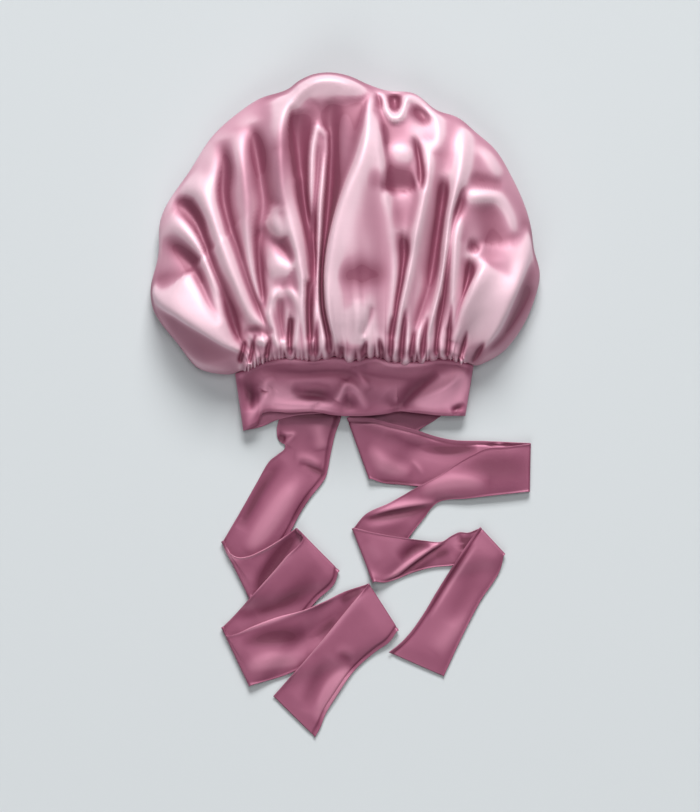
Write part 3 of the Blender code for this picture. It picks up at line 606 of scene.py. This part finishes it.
def bandGrid():
    half, wall = seam["half"], bandSize["wall"]
    wide = np.linspace(-half, half, bandSize["columns"])
    turn = np.linspace(math.pi / 2, -math.pi / 2, bandSize["turnColumns"] + 2)[1:-1]
    bulge = half + (seam["depth"] - wall) / 2 / seam["width"] * np.cos(turn)
    across = np.concatenate([wide, bulge, wide[::-1], -bulge])
    upper = 0.5 * np.sin(turn)
    frontness = np.concatenate([np.ones(len(wide)), 0.5 + upper, np.zeros(len(wide)), 0.5 - upper])
    rings, lifts, shades = [], [], []
    top = seamLoop(across) - (0.0, seam["gap"] / 2)
    level = frontness * levelAt(frontEdge, across) + (1 - frontness) * levelAt(backEdge, across)
    x = seam["offset"] + across * bandSize["edge"]
    edge = np.stack([x, seam["y"] + bandSize["height"] * level], axis=-1)
    for down in np.arange(bandSize["rows"] + 1) / bandSize["rows"]:
        plan = (1 - down) * top + down * edge
        low = wall / 2 + bandSize["backLift"] * smooth(down / bandSize["backStart"])
        high = (seam["depth"] - wall / 2) * (1 - bandSize["taper"] * down)
        lift, _ = foldShape(plan, bandFolds)
        lift = bandSize["folding"] * lift * smooth(down / bandSize["foldStart"])
        drop = bandSize["edgeDrop"] * smooth((down - bandSize["edgeStart"]) / bandSize["edgeReach"])
        swell = bandSize["topSwell"] * np.exp(-(((down - bandSize["topAt"]) / bandSize["topWidth"]) ** 2))
        height = low + (high - low + (lift + (swell - drop))) * frontness
        rings.append(np.column_stack([plan, height]))
        lifts.append(lift * frontness)
        # painted shade and painted highlight for this row of the band
        shade, _ = foldShape(plan, bandPaintedShading, folding["shadeEnding"])
        shades.append(bandSize["shading"] * shade * frontness)
    tone = paintedCreaseShading(np.array(lifts), bandSize["creaseDepth"], bandSize["fineCreases"]) + shades
    return np.array(rings), np.clip(tone, 0.0, 1.0)


tie = {
    "wall": 0.0011, "across": 60, "step": 0.0015, "fewest": 8, "turnRows": 9, "ahead": 6,
    "gap": 0.0020,  # between a stretch and what it lies on
    "slope": 0.012, "near": 0.0022,  # how far from an edge it comes down, and where it starts to
    "net": 3, "netRounds": 3,  # how far apart points feel what lies below, and how that is evened out
    "endShare": 0.12, "endDome": 0.35,
    "seamIn": 0.075, "seamWidth": 0.02, "seamDepth": 0.0009,
    "edgeLift": 0.0008, "edgeWidth": 0.03,
    # how strongly the painted shade and highlight tables go into the colour, and the scales of the painted
    # relief shading
    "shading": 600.0, "creaseDepth": 0.0024, "fineCreases": 0.6,
}
# For each stretch of a tie its two edges, as lines in the photograph, how far it domes, in mm, and which of
# its edges has a seam along it.
leftTie = (
    {"a": ((279, 392), (279, 418), (276.5, 430), (279, 441), (285, 445.5), (285, 447), (277, 455),
            (269, 461.5), (267.6, 463.4), (257, 482), (240, 512), (223, 541)),
     "b": ((341, 392), (341, 417), (335, 435), (330.5, 455), (327, 473), (325.5, 478), (321.5, 484),
            (311, 497), (301, 512), (291, 531), (270, 566), (251, 598)),
     "dome": 1.4, "seam": "b"},
    {"a": ((223, 541), (228, 552), (237, 557.5), (248, 556.5), (261, 551), (278, 541), (294, 530)),
     "b": ((251, 598), (295, 590), (338, 573)),
     "dome": 1.2, "seam": ""},
    {"a": ((296, 530), (302, 536), (285, 558), (250, 598), (234, 616), (223, 627)),
     "b": ((338, 573), (336, 581), (316, 602), (280, 650), (251, 686)),
     "dome": 1.6, "seam": "b"},
    {"a": ((223, 627), (226, 636), (235, 634.5), (250, 628), (273, 619), (305, 610), (322, 603), (345, 592),
            (366, 585)),
     "b": ((251, 686), (265, 682), (282, 677), (297, 671), (345, 655), (397, 632)),
     "dome": 1.6, "seam": ""},
    {"a": ((368, 585), (348, 609), (322, 641), (296, 671), (273, 697)),
     "b": ((397, 632), (390, 642), (376, 652), (353, 673), (337, 696), (325, 716), (320, 729), (315, 738)),
     "dome": 1.8, "seam": "b"},
)
rightTie = (
    {"a": ((371, 400), (360, 409), (349, 417)),
     "b": ((458, 402), (440, 417), (418, 431), (371, 477)),
     "dome": 0.8, "seam": ""},
    {"a": ((349, 417), (372, 418), (390, 423), (418, 430.5), (431, 435), (450, 439.5), (484, 441),
            (529, 443)),
     "b": ((371, 479), (382, 483), (400, 485), (417, 486.5), (450, 492), (528, 492)),
     "dome": 1.4, "seam": "a"},
    {"a": ((529, 444), (505, 447), (486, 448.5), (474, 454), (460, 462), (440, 475.5), (418, 487),
            (390, 503), (364, 516), (354, 528)),
     "b": ((528, 492), (500, 495), (470, 498.5), (436, 504), (423, 520), (409, 538), (395, 560),
            (375, 582)),
     "dome": 1.6, "seam": ""},
    {"a": ((354, 528), (372, 532.5), (400, 537.5), (425, 541), (442, 542), (452, 536), (460, 532.5),
            (468, 533), (479, 529)),
     "b": ((375, 582), (384, 583), (396, 580), (412, 573.5), (432, 568), (452, 566), (480, 560),
            (504, 556)),
     "dome": 1.2, "seam": ""},
    {"a": ((479, 529), (470, 541), (452, 568), (437, 592), (422, 617), (408, 636), (398, 646), (389, 653)),
     "b": ((504, 556), (502, 566), (480, 603), (462, 638), (444, 677)),
     "dome": 1.6, "seam": "a"},
)
tieFolds = {
    "tie_left0": (
        ("topRise", 2.0, 8, (316, 424, 0.8), (322, 450, 1.4, 7)),
        ("bendCrease", 1.4, 4, (298, 463, -0.8, 4, 5), (312, 467, -1.2, 3, 4),
            (325, 475, -1.8, 2.5, 3)),
        ("bendLight", 1.8, 5, (294, 457, 0.4), (308, 459, 0.9), (320, 466, 0.8, 4)),
        ("roll", 2.0, 9, (303, 474, 0.8), (284, 500, 2.4, 11), (262, 533, 2.4, 10), (246, 553, 1, 8)),
        ("leftDip", 1.8, 7, (282, 460, -0.8), (262, 488, -1.8), (240, 530, -1.4, 6)),
        ("pinch", 1.2, 1.6, (280, 432, 0.6), (287, 434, 1), (293, 434.5, 1), (289, 440, 0.8),
            (284, 446, 0.4)),
        ("pinchPocket", 1.4, 2.5, (277, 437, -1.2), (285, 439, -1.6)),
    ),
    "tie_left1": (
        ("inside", 1.8, 7, (294, 536, -1.5), (276, 560, -2.6, 9), (256, 592, -1.5)),
        ("lip", 1.3, 3, (224, 543, 1), (231, 554, 1.6), (240, 557, 1.6), (262, 550, 1.6),
            (293, 532, 1.4)),
    ),
    "tie_left2": (
        ("standing", 1.6, 9, (299, 535, 3, 9, 4), (285, 557, 2.6, 9, 4), (262, 584, 1.6, 8, 4),
            (238, 612, 0.8, 6, 4)),
        ("lowDip", 1.9, 9, (318, 584, -1), (290, 600, -1.5), (256, 615, -1, 7)),
    ),
    "tie_left3": (
        ("waveDip", 2.0, 6, (238, 648, -0.6), (264, 640, -1.4, 9), (300, 638, -2, 11),
            (336, 618, -2, 9), (352, 600, -1.5)),
        ("waveRise", 2.0, 9, (240, 670, 0.6), (268, 662, 1.3, 10), (308, 658, 1)),
        ("topEdge", 1.3, 3, (228, 636, 1), (250, 629, 1.4), (300, 612, 1.4), (362, 587, 1)),
    ),
    "tie_left4": (
        ("softCrease", 1.6, 3, (335, 657, -0.2, 3, 4), (344, 656, -0.5, 3, 4), (353, 661, -0.3, 3, 4)),
        ("creaseLight", 1.8, 5, (334, 652, 0.2, 4), (345, 650, 0.3), (356, 655, 0.2)),
        ("stripRise", 2.0, 7, (352, 668, 0.8), (336, 688, 2), (322, 712, 1.2, 6)),
        ("innerDip", 2.0, 8, (330, 658, -0.6), (316, 684, -1.4), (304, 712, -0.8, 7)),
        ("standing", 1.5, 7, (366, 590, 1.6, 7, 4), (340, 620, 1.6, 7, 4), (312, 653, 1, 6, 4)),
    ),
    "tie_right1": (
        ("sideDip", 1.9, 6, (384, 433, -0.8, 6, 7), (410, 444, -1.6, 6, 8), (445, 450, -2, 6, 8),
            (478, 448, -1.5, 4, 6)),
        ("smallFold", 1.4, 2.5, (411, 460, 0.2), (418, 467, 0.6), (424, 476, 0.2)),
        ("sideRise", 2.0, 7, (366, 446, 0.6), (386, 464, 1.6, 9, 8), (412, 474, 1.2, 7, 6)),
        ("crinkle", 1.3, 2, (484, 444.5, 0.5), (492, 446, -0.9), (499, 444.5, 0.9), (507, 446, -0.9),
            (515, 445, 0.6)),
    ),
    "tie_right2": (
        ("overlap", 1.2, 6, (364, 517, 1.2, 6, 1.8), (393, 509, 2.6, 7, 1.8), (438, 502, 1.4, 7, 1.8)),
        ("overlapDrop", 1.5, 5, (366, 521, -0.8, 2.5, 5), (395, 514, -1.6, 3, 7),
            (430, 508, -0.8, 2.5, 5)),
        ("wideRise", 2.0, 8, (420, 492, 0.8), (455, 481, 2, 9), (490, 482, 1.4)),
        ("wideDip", 2.0, 11, (466, 463, -0.3), (502, 465, -0.8, 15), (538, 468, -0.3, 14)),
        ("lowerRise", 1.6, 4, (366, 526, 0.4, 3), (388, 524, 0.7), (412, 518, 0.4)),
    ),
    "tie_right3": (
        ("halfTwist", 1.2, 3, (377, 582, 1), (395, 575.5, 2.2, 3, 2.2), (410, 564.5, 2.4, 3, 2.2),
            (425, 553.5, 2.4, 3, 2.2), (440, 543.5, 2.0, 3, 2.2), (452, 536.5, 1.4)),
        ("twistGroove", 1.2, 1.6, (384, 582, -0.8), (400, 575.5, -2), (414, 565, -2.4),
            (430, 553.5, -2.4), (446, 543, -1.2)),
        ("faceDip", 2.0, 7, (398, 560, -0.8, 7, 6), (414, 549, -1.6, 7, 6), (430, 545, -1, 4, 5)),
        ("crumple", 1.3, 3, (459, 534, -1, 2.5), (464, 541, -3), (470, 539, -2), (462, 552, -2, 5)),
    ),
    "tie_right4": (
        ("broadDip", 2.0, 9, (480, 556, -0.4), (466, 590, -0.8, 11), (448, 625, -0.5)),
        ("broadRise", 2.0, 7, (480, 590, 0.3), (462, 622, 0.8, 9), (436, 655, 1.0, 11)),
    ),
}
# Painted shade and painted highlight for each stretch of a tie: how much darker (or, where negative,
# lighter) the cloth is painted, where the rise would stand, with painted shadow under the band and under
# overlapping stretches.
tiePaintedShading = {
    "tie_left0": (
        ("pocket", 1.8, 3, (278, 437, 1.44), (286, 440, 1.62)),
        ("crease", 1.5, 4, (306, 466, 0.36), (325, 475, 1.08, 3)),
        ("leftSide", 2.0, 8, (284, 458, 0.31), (262, 488, 0.38, 6), (238, 532, 0.45, 5)),
        ("rightSide", 2.0, 4, (314, 490, 0.36, 3, 4), (300, 508, 0.54), (292, 524, 0.54)),
        ("shine", 2.0, 8, (296, 482, -0.25), (270, 520, -0.44, 9), (248, 552, -0.38)),
        ("underBand", 2.0, 5, (276, 414, 0.9), (342, 417, 0.9)),
    ),
    "tie_left1": (
        ("deep", 1.6, 4, (297, 533, 1.62, 4, 5), (284, 551, 1.12, 4, 6), (268, 573, 1, 4, 8),
            (253, 596, 0.88, 4, 7)),
        ("lip", 1.5, 3, (224, 543, -0.72), (234, 556, -0.9), (262, 550, -0.9), (290, 533, -0.72)),
        ("wide", 2.0, 8, (236, 566, 0.19), (262, 568, 0.31, 9)),
    ),
    "tie_left2": (
        ("edge", 1.5, 2, (300, 538, -0.54), (284, 559, -0.72), (252, 596, -0.54)),
        ("low", 2.0, 4, (232, 619, 0.72), (262, 612, 0.56, 7, 6), (296, 603, 0.38, 7, 5),
            (312, 600, 0.54)),
        ("upper", 2.0, 12, (326, 560, 0.38), (304, 582, 0.5), (276, 606, 0.5, 9)),
    ),
    "tie_left3": (
        ("pocket", 1.5, 5, (340, 604, 0.72), (348, 597, 1.26, 5, 4), (362, 590, 1.26, 3, 4)),
        ("beside", 2.0, 6, (318, 640, 0.44, 6, 8), (336, 618, 0.5, 5, 9)),
        ("upper", 2.0, 5, (240, 643, 0.54), (270, 637, 0.7, 9, 10), (306, 630, 0.8, 11, 12)),
        ("corner", 1.5, 2, (227, 628, 0.9), (230, 634, 0.54)),
        ("light", 2.0, 6, (246, 668, -0.38), (266, 662, -0.5, 7), (300, 663, -0.54, 5)),
        ("edge", 1.5, 2, (230, 636, -0.72), (273, 620, -0.72), (320, 605, -0.54)),
    ),
    "tie_left4": (
        ("edge", 1.5, 2, (364, 591, -0.72), (330, 632, -0.72), (290, 679, -0.54)),
        ("wrinkle", 1.8, 4, (338, 657, 0.18), (345, 658, 0.29), (352, 662, 0.18)),
        ("strip", 2.0, 7, (352, 664, -0.5), (333, 690, -1.12, 8), (316, 724, -0.62, 6)),
        ("soft", 2.0, 8, (326, 662, 0.12), (302, 700, 0.12)),
    ),
    "tie_right0": (
        ("underBand", 2.0, 8, (380, 416, 0.5), (440, 414, 0.62)),
    ),
    "tie_right1": (
        ("deep", 1.8, 4, (425, 445, 0.38, 4, 7), (452, 450, 0.69, 5, 7), (478, 448, 1.08, 3, 4)),
        ("top", 2.0, 6, (358, 424, 0.5), (384, 434, 0.38, 5, 7), (404, 442, 0.31, 6, 8)),
        ("light", 2.0, 6, (366, 450, -0.1), (386, 468, -0.2, 9), (410, 476, -0.15, 7)),
        ("bottom", 1.4, 2, (378, 481, 0.9), (396, 483, 1.08), (416, 485, 0.9)),
    ),
    "tie_right2": (
        ("wedge", 1.4, 3, (364, 519, 1.2, 1.8, 3), (385, 513.5, 1.5, 1.8, 5), (405, 509, 1.5, 1.8, 7),
            (434, 504, 1.2, 1.8, 6)),
        ("dark", 2.0, 17, (450, 468, 0.2, 12), (494, 467, 0.5), (540, 470, 0.5)),
        ("light", 2.0, 5, (410, 496, -0.36), (448, 482, -0.44, 8), (490, 486, -0.25, 6)),
        ("lower", 2.0, 7, (372, 532, 0.1, 5), (392, 530, 0.4), (412, 526, 0.4)),
    ),
    "tie_right3": (
        ("face", 2.0, 7, (400, 560, 0.38), (416, 550, 0.56, 7, 6), (434, 545, 0.72, 4)),
        ("faceLight", 2.0, 6, (368, 540, -0.15), (380, 562, -0.15, 7)),
        ("twist", 1.3, 1.6, (400, 575.5, 1.08), (414, 565, 1.26), (430, 553.5, 1.26), (446, 543, 0.72)),
        ("twistLight", 1.4, 1.6, (392, 575, -0.7), (409, 563, -0.7), (430, 548, -0.7)),
        ("twistSide", 2.0, 4, (402, 579, 0.5, 4, 3), (420, 568, 0.7, 4, 3), (440, 555, 0.7, 5, 3),
            (456, 548, 0.7, 5, 4)),
        ("crumple", 1.6, 4, (462, 538, 1.26), (468, 548, 1, 5, 6), (458, 562, 0.88, 5, 6)),
        ("strip", 2.0, 6, (436, 558, 0.31), (450, 552, 0.44)),
    ),
    "tie_right4": (
        ("seam", 1.4, 1.4, (474, 542, 1.3), (456, 569, 1.3), (426, 618, 0.9)),
        ("seamLight", 1.4, 1.6, (478, 544, -0.5), (460, 571, -0.5), (430, 620, -0.4)),
        ("soft", 2.0, 11, (482, 565, 0.12), (466, 595, 0.2, 12), (450, 620, 0.12, 9)),
        ("light", 2.0, 14, (470, 612, -0.15, 9), (450, 632, -0.18), (424, 652, -0.15)),
    ),
}


def restHeight(places, laid):  # the height that what lies below lifts each place to
    lift = np.zeros(places.shape[:-1])
    flat = places.reshape(-1, 2)
    slope, close = tie["slope"], tie["near"]
    for height, tree in laid:
        top = np.zeros(len(flat))
        for i, p in enumerate(flat):
            for point, k, away in tree.find_range((p[0], p[1], 0.0), slope):
                near = min(max(1.0 - (away - close) / (slope - close), 0.0), 1.0)
                near = near * near * (3 - 2 * near)
                top[i] = max(top[i], (height[k] + tie["wall"] + tie["gap"]) * near)
        lift = np.maximum(lift, top.reshape(lift.shape))
    return lift


def feltHeight(plan, laid):  # felt on a coarse net, and read between its knots
    net = tie["net"]
    felt = blurred(restHeight(plan[::net, ::net], laid), tie["netRounds"])
    rows, columns = (np.arange(count) for count in plan.shape[:2])
    wide = np.array([np.interp(columns, columns[::net], row) for row in felt])
    return np.array([np.interp(rows, rows[::net], wide[:, j]) for j in columns]).T


def cloudTree(places):
    tree = KDTree(len(places))
    for i, p in enumerate(places):
        tree.insert((p[0], p[1], 0.0), i)
    tree.balance()
    return tree


def outwardFrom(plan):  # square to a stretch's first row, and away from the stretch
    cross = plan[0, -1] - plan[0, 0]
    outward = np.array([cross[1], -cross[0]]) / np.linalg.norm(cross)
    heading = plan[min(tie["ahead"], len(plan) - 1)].mean(axis=0) - plan[0].mean(axis=0)
    return -outward * np.sign(outward @ heading)


def turnedRows(under, over, outward):  # the cloth's rows round a turn, up to the next stretch
    radius = (over[:, 2] - under[:, 2]) / 2
    rows = []
    for step in range(1, tie["turnRows"] + 1):
        angle = math.pi * (step / (tie["turnRows"] + 1) - 0.5)
        mix = 0.5 + 0.5 * math.sin(angle)
        row = (under + over) / 2
        row[:, :2] = (1 - mix) * under[:, :2] + mix * over[:, :2]
        row[:, :2] += (radius * math.cos(angle))[:, None] * outward
        row[:, 2] += radius * math.sin(angle)
        rows.append(row)
    return rows


def tieGrid(name, stretches, laid):
    even = np.linspace(0.0, 1.0, tie["across"])
    across = 0.5 * (0.5 - 0.5 * np.cos(math.pi * even)) + 0.5 * even
    strip, rises, shades = [], [], []
    for number, stretch in enumerate(stretches):
        a, b = spot(stretch["a"]), spot(stretch["b"])
        length = max(np.linalg.norm(np.diff(line, axis=0), axis=1).sum() for line in (a, b))
        along = np.linspace(0.0, 1.0, max(tie["fewest"], round(length / tie["step"])))
        lineA, lineB = through(a, along), through(b, along)
        plan = (1 - across)[None, :, None] * lineA[:, None] + across[None, :, None] * lineB[:, None]
        height = feltHeight(plan, laid)
        ends = smooth(along / tie["endShare"]) * smooth((1 - along) / tie["endShare"])
        ends = tie["endDome"] + (1 - tie["endDome"]) * ends
        dome = stretch["dome"] * mm * (1 - (2 * across - 1) ** 4)[None] * ends[:, None]
        lift, _ = foldShape(plan, tieFolds.get(f"{name}{number}", ()))
        # painted shade and painted highlight for this stretch
        shade, _ = foldShape(plan, tiePaintedShading.get(f"{name}{number}", ()), folding["shadeEnding"])
        fromSeam = across if stretch["seam"] == "a" else 1 - across
        depth = tie["seamDepth"] if stretch["seam"] else 0.0
        groove = -depth * np.exp(-(((fromSeam - tie["seamIn"]) / tie["seamWidth"]) ** 2))
        edges = sum(np.exp(-((far / tie["edgeWidth"]) ** 2)) for far in (across, 1 - across))
        lift = lift + groove[None] + tie["edgeLift"] * edges[None]
        height = np.maximum(height + dome + lift, 0.0)
        panel = np.concatenate([plan, height[..., None]], axis=-1)
        if strip:
            strip += turnedRows(strip[-1], panel[0], outwardFrom(plan))
            rises += [lift[0]] * tie["turnRows"]
            shades += [shade[0]] * tie["turnRows"]
        strip += list(panel)
        rises += list(lift)
        shades += list(shade)
        net = tie["net"]
        laid.append((height[::net, ::net].reshape(-1), cloudTree(plan[::net, ::net].reshape(-1, 2))))
    strip = np.array(strip)
    strip[..., 2] += tie["wall"] / 2
    # the tie's colour tone: painted relief shading plus its painted shade and highlight tables
    tone = paintedCreaseShading(np.array(rises), tie["creaseDepth"], tie["fineCreases"])
    return strip, np.clip(tone + tie["shading"] * np.array(shades), 0.0, 1.0)


surface = {
    "ridge": 0.30, "level": 0.55, "deep": 0.95,  # where the tones stand between a ridge, painted highlight, and a crease, painted shade
    "threadTone": (0.75, 1.2), "threadRough": (-0.03, 0.05),
    "rippleDepth": 0.001, "threadDepth": 0.00008,
}


def feed(tree, node, values):  # values for a node's sockets; one that is another node's socket is linked
    for socket, value in values.items():
        if isinstance(value, bpy.types.NodeSocket):
            tree.links.new(value, node.inputs[socket])
        else:
            node.inputs[socket].default_value = value


def addNode(tree, kind, values, **settings):  # a node with its settings, and values for its sockets
    node = tree.nodes.new("ShaderNode" + kind)
    for name, value in settings.items():
        setattr(node, name, value)
    feed(tree, node, values)
    return node


def weaveGroup():
    tree = bpy.data.node_groups.new("satinWeave", "ShaderNodeTree")
    for label, side, kind in (
        ("UV", "INPUT", "Vector"), ("Threads", "INPUT", "Float"), ("Slub", "INPUT", "Float"),
        ("Height", "OUTPUT", "Float"), ("Tone", "OUTPUT", "Float"),
    ):
        tree.interface.new_socket(label, in_out=side, socket_type="NodeSocket" + kind)
    given = tree.nodes.new("NodeGroupInput").outputs
    scale = addNode(tree, "VectorMath", {0: given["UV"], "Scale": given["Threads"]}, operation="SCALE")
    wave = addNode(
        tree, "TexWave", {"Vector": scale.outputs[0], "Scale": 0.5, "Distortion": 1.2, "Detail": 1.0},
        bands_direction="X",
    )
    stretch = addNode(tree, "VectorMath", {0: scale.outputs[0], 1: (1.0, 0.04, 1.0)}, operation="MULTIPLY")
    noise = addNode(tree, "TexNoise", {"Vector": stretch.outputs[0], "Scale": 0.35, "Detail": 3.0})
    tone = noise.outputs["Fac"]
    mix = addNode(tree, "Mix", {0: given["Slub"], 2: wave.outputs["Fac"], 3: tone})
    feed(tree, tree.nodes.new("NodeGroupOutput"), {"Height": mix.outputs[0], "Tone": tone})
    return tree


def clothMaterial(name, look, weave):
    material = bpy.data.materials.new(name)
    material.use_nodes = True
    tree = material.node_tree
    uv = addNode(tree, "UVMap", {}, uv_map="weave").outputs["UV"]
    thread = addNode(
        tree, "Group", {"UV": uv, "Threads": look["threads"], "Slub": look["slub"]}, node_tree=weave
    )
    place = addNode(tree, "TexCoord", {}).outputs["Object"]
    # the painted shade and painted highlight of each point, with a random cloud of tone, pick the colour
    crease = addNode(tree, "Attribute", {}, attribute_name="crease").outputs["Fac"]
    cloud = addNode(tree, "TexNoise", {"Vector": place, "Scale": look["cloudScale"], "Detail": 4.0})
    cloudAndPaintedShading = addNode(
        tree, "Math", {0: cloud.outputs["Fac"], 1: look["cloud"], 2: crease}, operation="MULTIPLY_ADD"
    )
    # the ramp paints light and shade: its ridge colour is painted highlight, its deep colour painted shade,
    # its level colour the cloth's own
    shade = addNode(tree, "ValToRGB", {"Fac": cloudAndPaintedShading.outputs[0]})
    ramp = shade.color_ramp
    ramp.interpolation = "B_SPLINE"
    ramp.elements[0].position = surface["ridge"]
    ramp.elements[0].color = look["ridge"]
    ramp.elements[1].position = surface["deep"]
    ramp.elements[1].color = look["deep"]
    ramp.elements.new(surface["level"]).color = look["level"]
    tone = thread.outputs["Tone"]
    dull, bright = surface["threadTone"]
    grey = addNode(tree, "MapRange", {"Value": tone, "To Min": dull, "To Max": bright})
    fleck = addNode(
        tree, "Mix", {0: look["fleck"], 6: shade.outputs["Color"], 7: grey.outputs["Result"]},
        data_type="RGBA", blend_type="MULTIPLY",
    )
    least, most = (look["rough"] + more for more in surface["threadRough"])
    rough = addNode(tree, "MapRange", {"Value": tone, "To Min": least, "To Max": most})
    ripple = addNode(tree, "TexNoise", {"Vector": place, "Scale": look["rippleScale"], "Detail": 2.0})
    wide = addNode(tree, "Bump", {
        "Height": ripple.outputs["Fac"], "Strength": look["ripple"], "Distance": surface["rippleDepth"],
    })
    fine = addNode(tree, "Bump", {
        "Height": thread.outputs["Height"], "Normal": wide.outputs["Normal"],
        "Strength": look["weave"], "Distance": surface["threadDepth"],
    })
    feed(tree, tree.nodes["Principled BSDF"], {
        "Base Color": fleck.outputs[2], "Roughness": rough.outputs["Result"],
        "Normal": fine.outputs["Normal"], "Metallic": look["metal"], "IOR": look["ior"],
        "Specular IOR Level": look["specular"], "Specular Tint": look["shine"],
        "Sheen Weight": look["sheen"], "Sheen Roughness": look["sheenRough"],
        "Sheen Tint": look["sheenTint"],
    })
    return material


# In each look, ridge is the painted highlight colour and deep the painted shade colour, either side of the
# cloth's level colour.
crownLook = {
    "ridge": (0.82, 0.565, 0.645, 1), "level": (0.60, 0.278, 0.378, 1), "deep": (0.255, 0.060, 0.112, 1),
    "cloud": 0.08, "cloudScale": 9.0, "fleck": 0.10, "rough": 0.58, "threads": 1600.0, "slub": 0.4,
    "weave": 0.25, "ripple": 0.30, "rippleScale": 60.0, "metal": 0.25, "ior": 1.6, "specular": 0.8,
    "shine": (1.0, 0.90, 0.94, 1), "sheen": 0.05, "sheenRough": 0.4, "sheenTint": (1.0, 0.85, 0.9, 1),
}
bandLook = {
    "ridge": (0.86, 0.38, 0.53, 1), "level": (0.395, 0.097, 0.188, 1), "deep": (0.15, 0.025, 0.058, 1),
    "cloud": 0.08, "cloudScale": 11.0, "fleck": 0.10, "rough": 0.46, "threads": 1300.0, "slub": 0.3,
    "weave": 0.35, "ripple": 0.20, "rippleScale": 50.0, "metal": 0.22, "ior": 1.5, "specular": 0.8,
    "shine": (1.0, 0.80, 0.88, 1), "sheen": 0.05, "sheenRough": 0.4, "sheenTint": (1.0, 0.75, 0.85, 1),
}
tieLook = dict(bandLook, ridge=(0.53, 0.205, 0.30, 1), level=(0.31, 0.078, 0.15, 1), rough=0.45)

print("scene: crown")
weave = weaveGroup()
crownPiece = sheetMesh("crown_cloth", *crownGrid(), crown["wall"], -1.0, flip=True)
crownPiece.data.materials.append(clothMaterial("crownSatin", crownLook, weave))
print("scene: band")
bandPiece = sheetMesh("band_cloth", *bandGrid(), bandSize["wall"], 0.0, ring=True)
bandPiece.data.materials.append(clothMaterial("bandCloth", bandLook, weave))
print("scene: ties")
tieMaterial = clothMaterial("tieCloth", tieLook, weave)
laidCloth = []
tiePieces = []
for tieName, stretches in (("tie_left", leftTie), ("tie_right", rightTie)):
    piece = sheetMesh(tieName + "_cloth", *tieGrid(tieName, stretches, laidCloth), tie["wall"], 0.0)
    piece.data.materials.append(tieMaterial)
    tiePieces.append(piece)

for piece, node, slot in (
    (crownPiece, "crown", "crown_satin"),
    (bandPiece, "band", "band_cloth"),
    (tiePieces[0], "tie_left", "tie_cloth"),
    (tiePieces[1], "tie_right", "tie_cloth"),
):
    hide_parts(node)
    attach(piece, "root")
    layer = round(sum(face.area for face in piece.data.polygons) / 2, 4)
    print("scene:", piece.name, len(piece.data.polygons) * 2, "triangles, one layer", layer, "m2")

print("scene: table, light and camera")
tableTop = {
    "size": 40.0, "place": (0.0, -0.18, -0.0007),
    "color": (0.612, 0.643, 0.658, 1), "rough": 0.9, "specular": 0.1,
}
bpy.ops.object.select_all(action="DESELECT")
bpy.ops.mesh.primitive_plane_add(size=tableTop["size"], location=tableTop["place"])
table = bpy.context.object
table.name = "table"
floor = bpy.data.materials.new("tableTop")
floor.use_nodes = True
floorShader = floor.node_tree.nodes["Principled BSDF"]
floorShader.inputs["Base Color"].default_value = tableTop["color"]
floorShader.inputs["Roughness"].default_value = tableTop["rough"]
floorShader.inputs["Specular IOR Level"].default_value = tableTop["specular"]
table.data.materials.append(floor)

lights = (  # name, place, size, watts
    ("crownSide", (0.8, 11.2, 7.8), (7.0, 5.0), 2420.0),
    ("overhead", (0.6, 1.4, 6.0), (3.0, 2.4), 85.0),
    ("tieSide", (-2.0, -8.0, 6.4), (8.0, 6.0), 320.0),
)
aim = Vector((0.0, -0.2, 0.0))
for name, place, size, watts in lights:
    lamp = bpy.data.lights.new(name, "AREA")
    lamp.shape = "RECTANGLE"
    lamp.size, lamp.size_y = size
    lamp.energy = watts
    holder = bpy.data.objects.new(name, lamp)
    holder.location = place
    holder.rotation_euler = (aim - Vector(place)).to_track_quat("-Z", "Y").to_euler()
    bpy.context.scene.collection.objects.link(holder)
room = {"color": (0.86, 0.92, 1.0, 1), "strength": 0.08}
world = bpy.data.worlds.new("room")
world.use_nodes = True
world.node_tree.nodes["Background"].inputs["Color"].default_value = room["color"]
world.node_tree.nodes["Background"].inputs["Strength"].default_value = room["strength"]
bpy.context.scene.world = world
bpy.context.scene.view_settings.view_transform = "Standard"

viewpoint = {
    "centre": (350.0, 406.0),  # in the photograph
    "height": 5.0, "sensor": 36.0,
    "sharpAt": 0.015,  # the height at which the picture's scale is true
}
centre = spot(viewpoint["centre"])
shownHeight = picture["size"][1] * picture["scale"]
camera = bpy.data.objects.new("camera", bpy.data.cameras.new("camera"))
camera.location = (centre[0], centre[1], viewpoint["height"])
camera.data.sensor_width = viewpoint["sensor"]
camera.data.lens = viewpoint["sensor"] * (viewpoint["height"] - viewpoint["sharpAt"]) / shownHeight
bpy.context.scene.collection.objects.link(camera)
bpy.context.scene.camera = camera
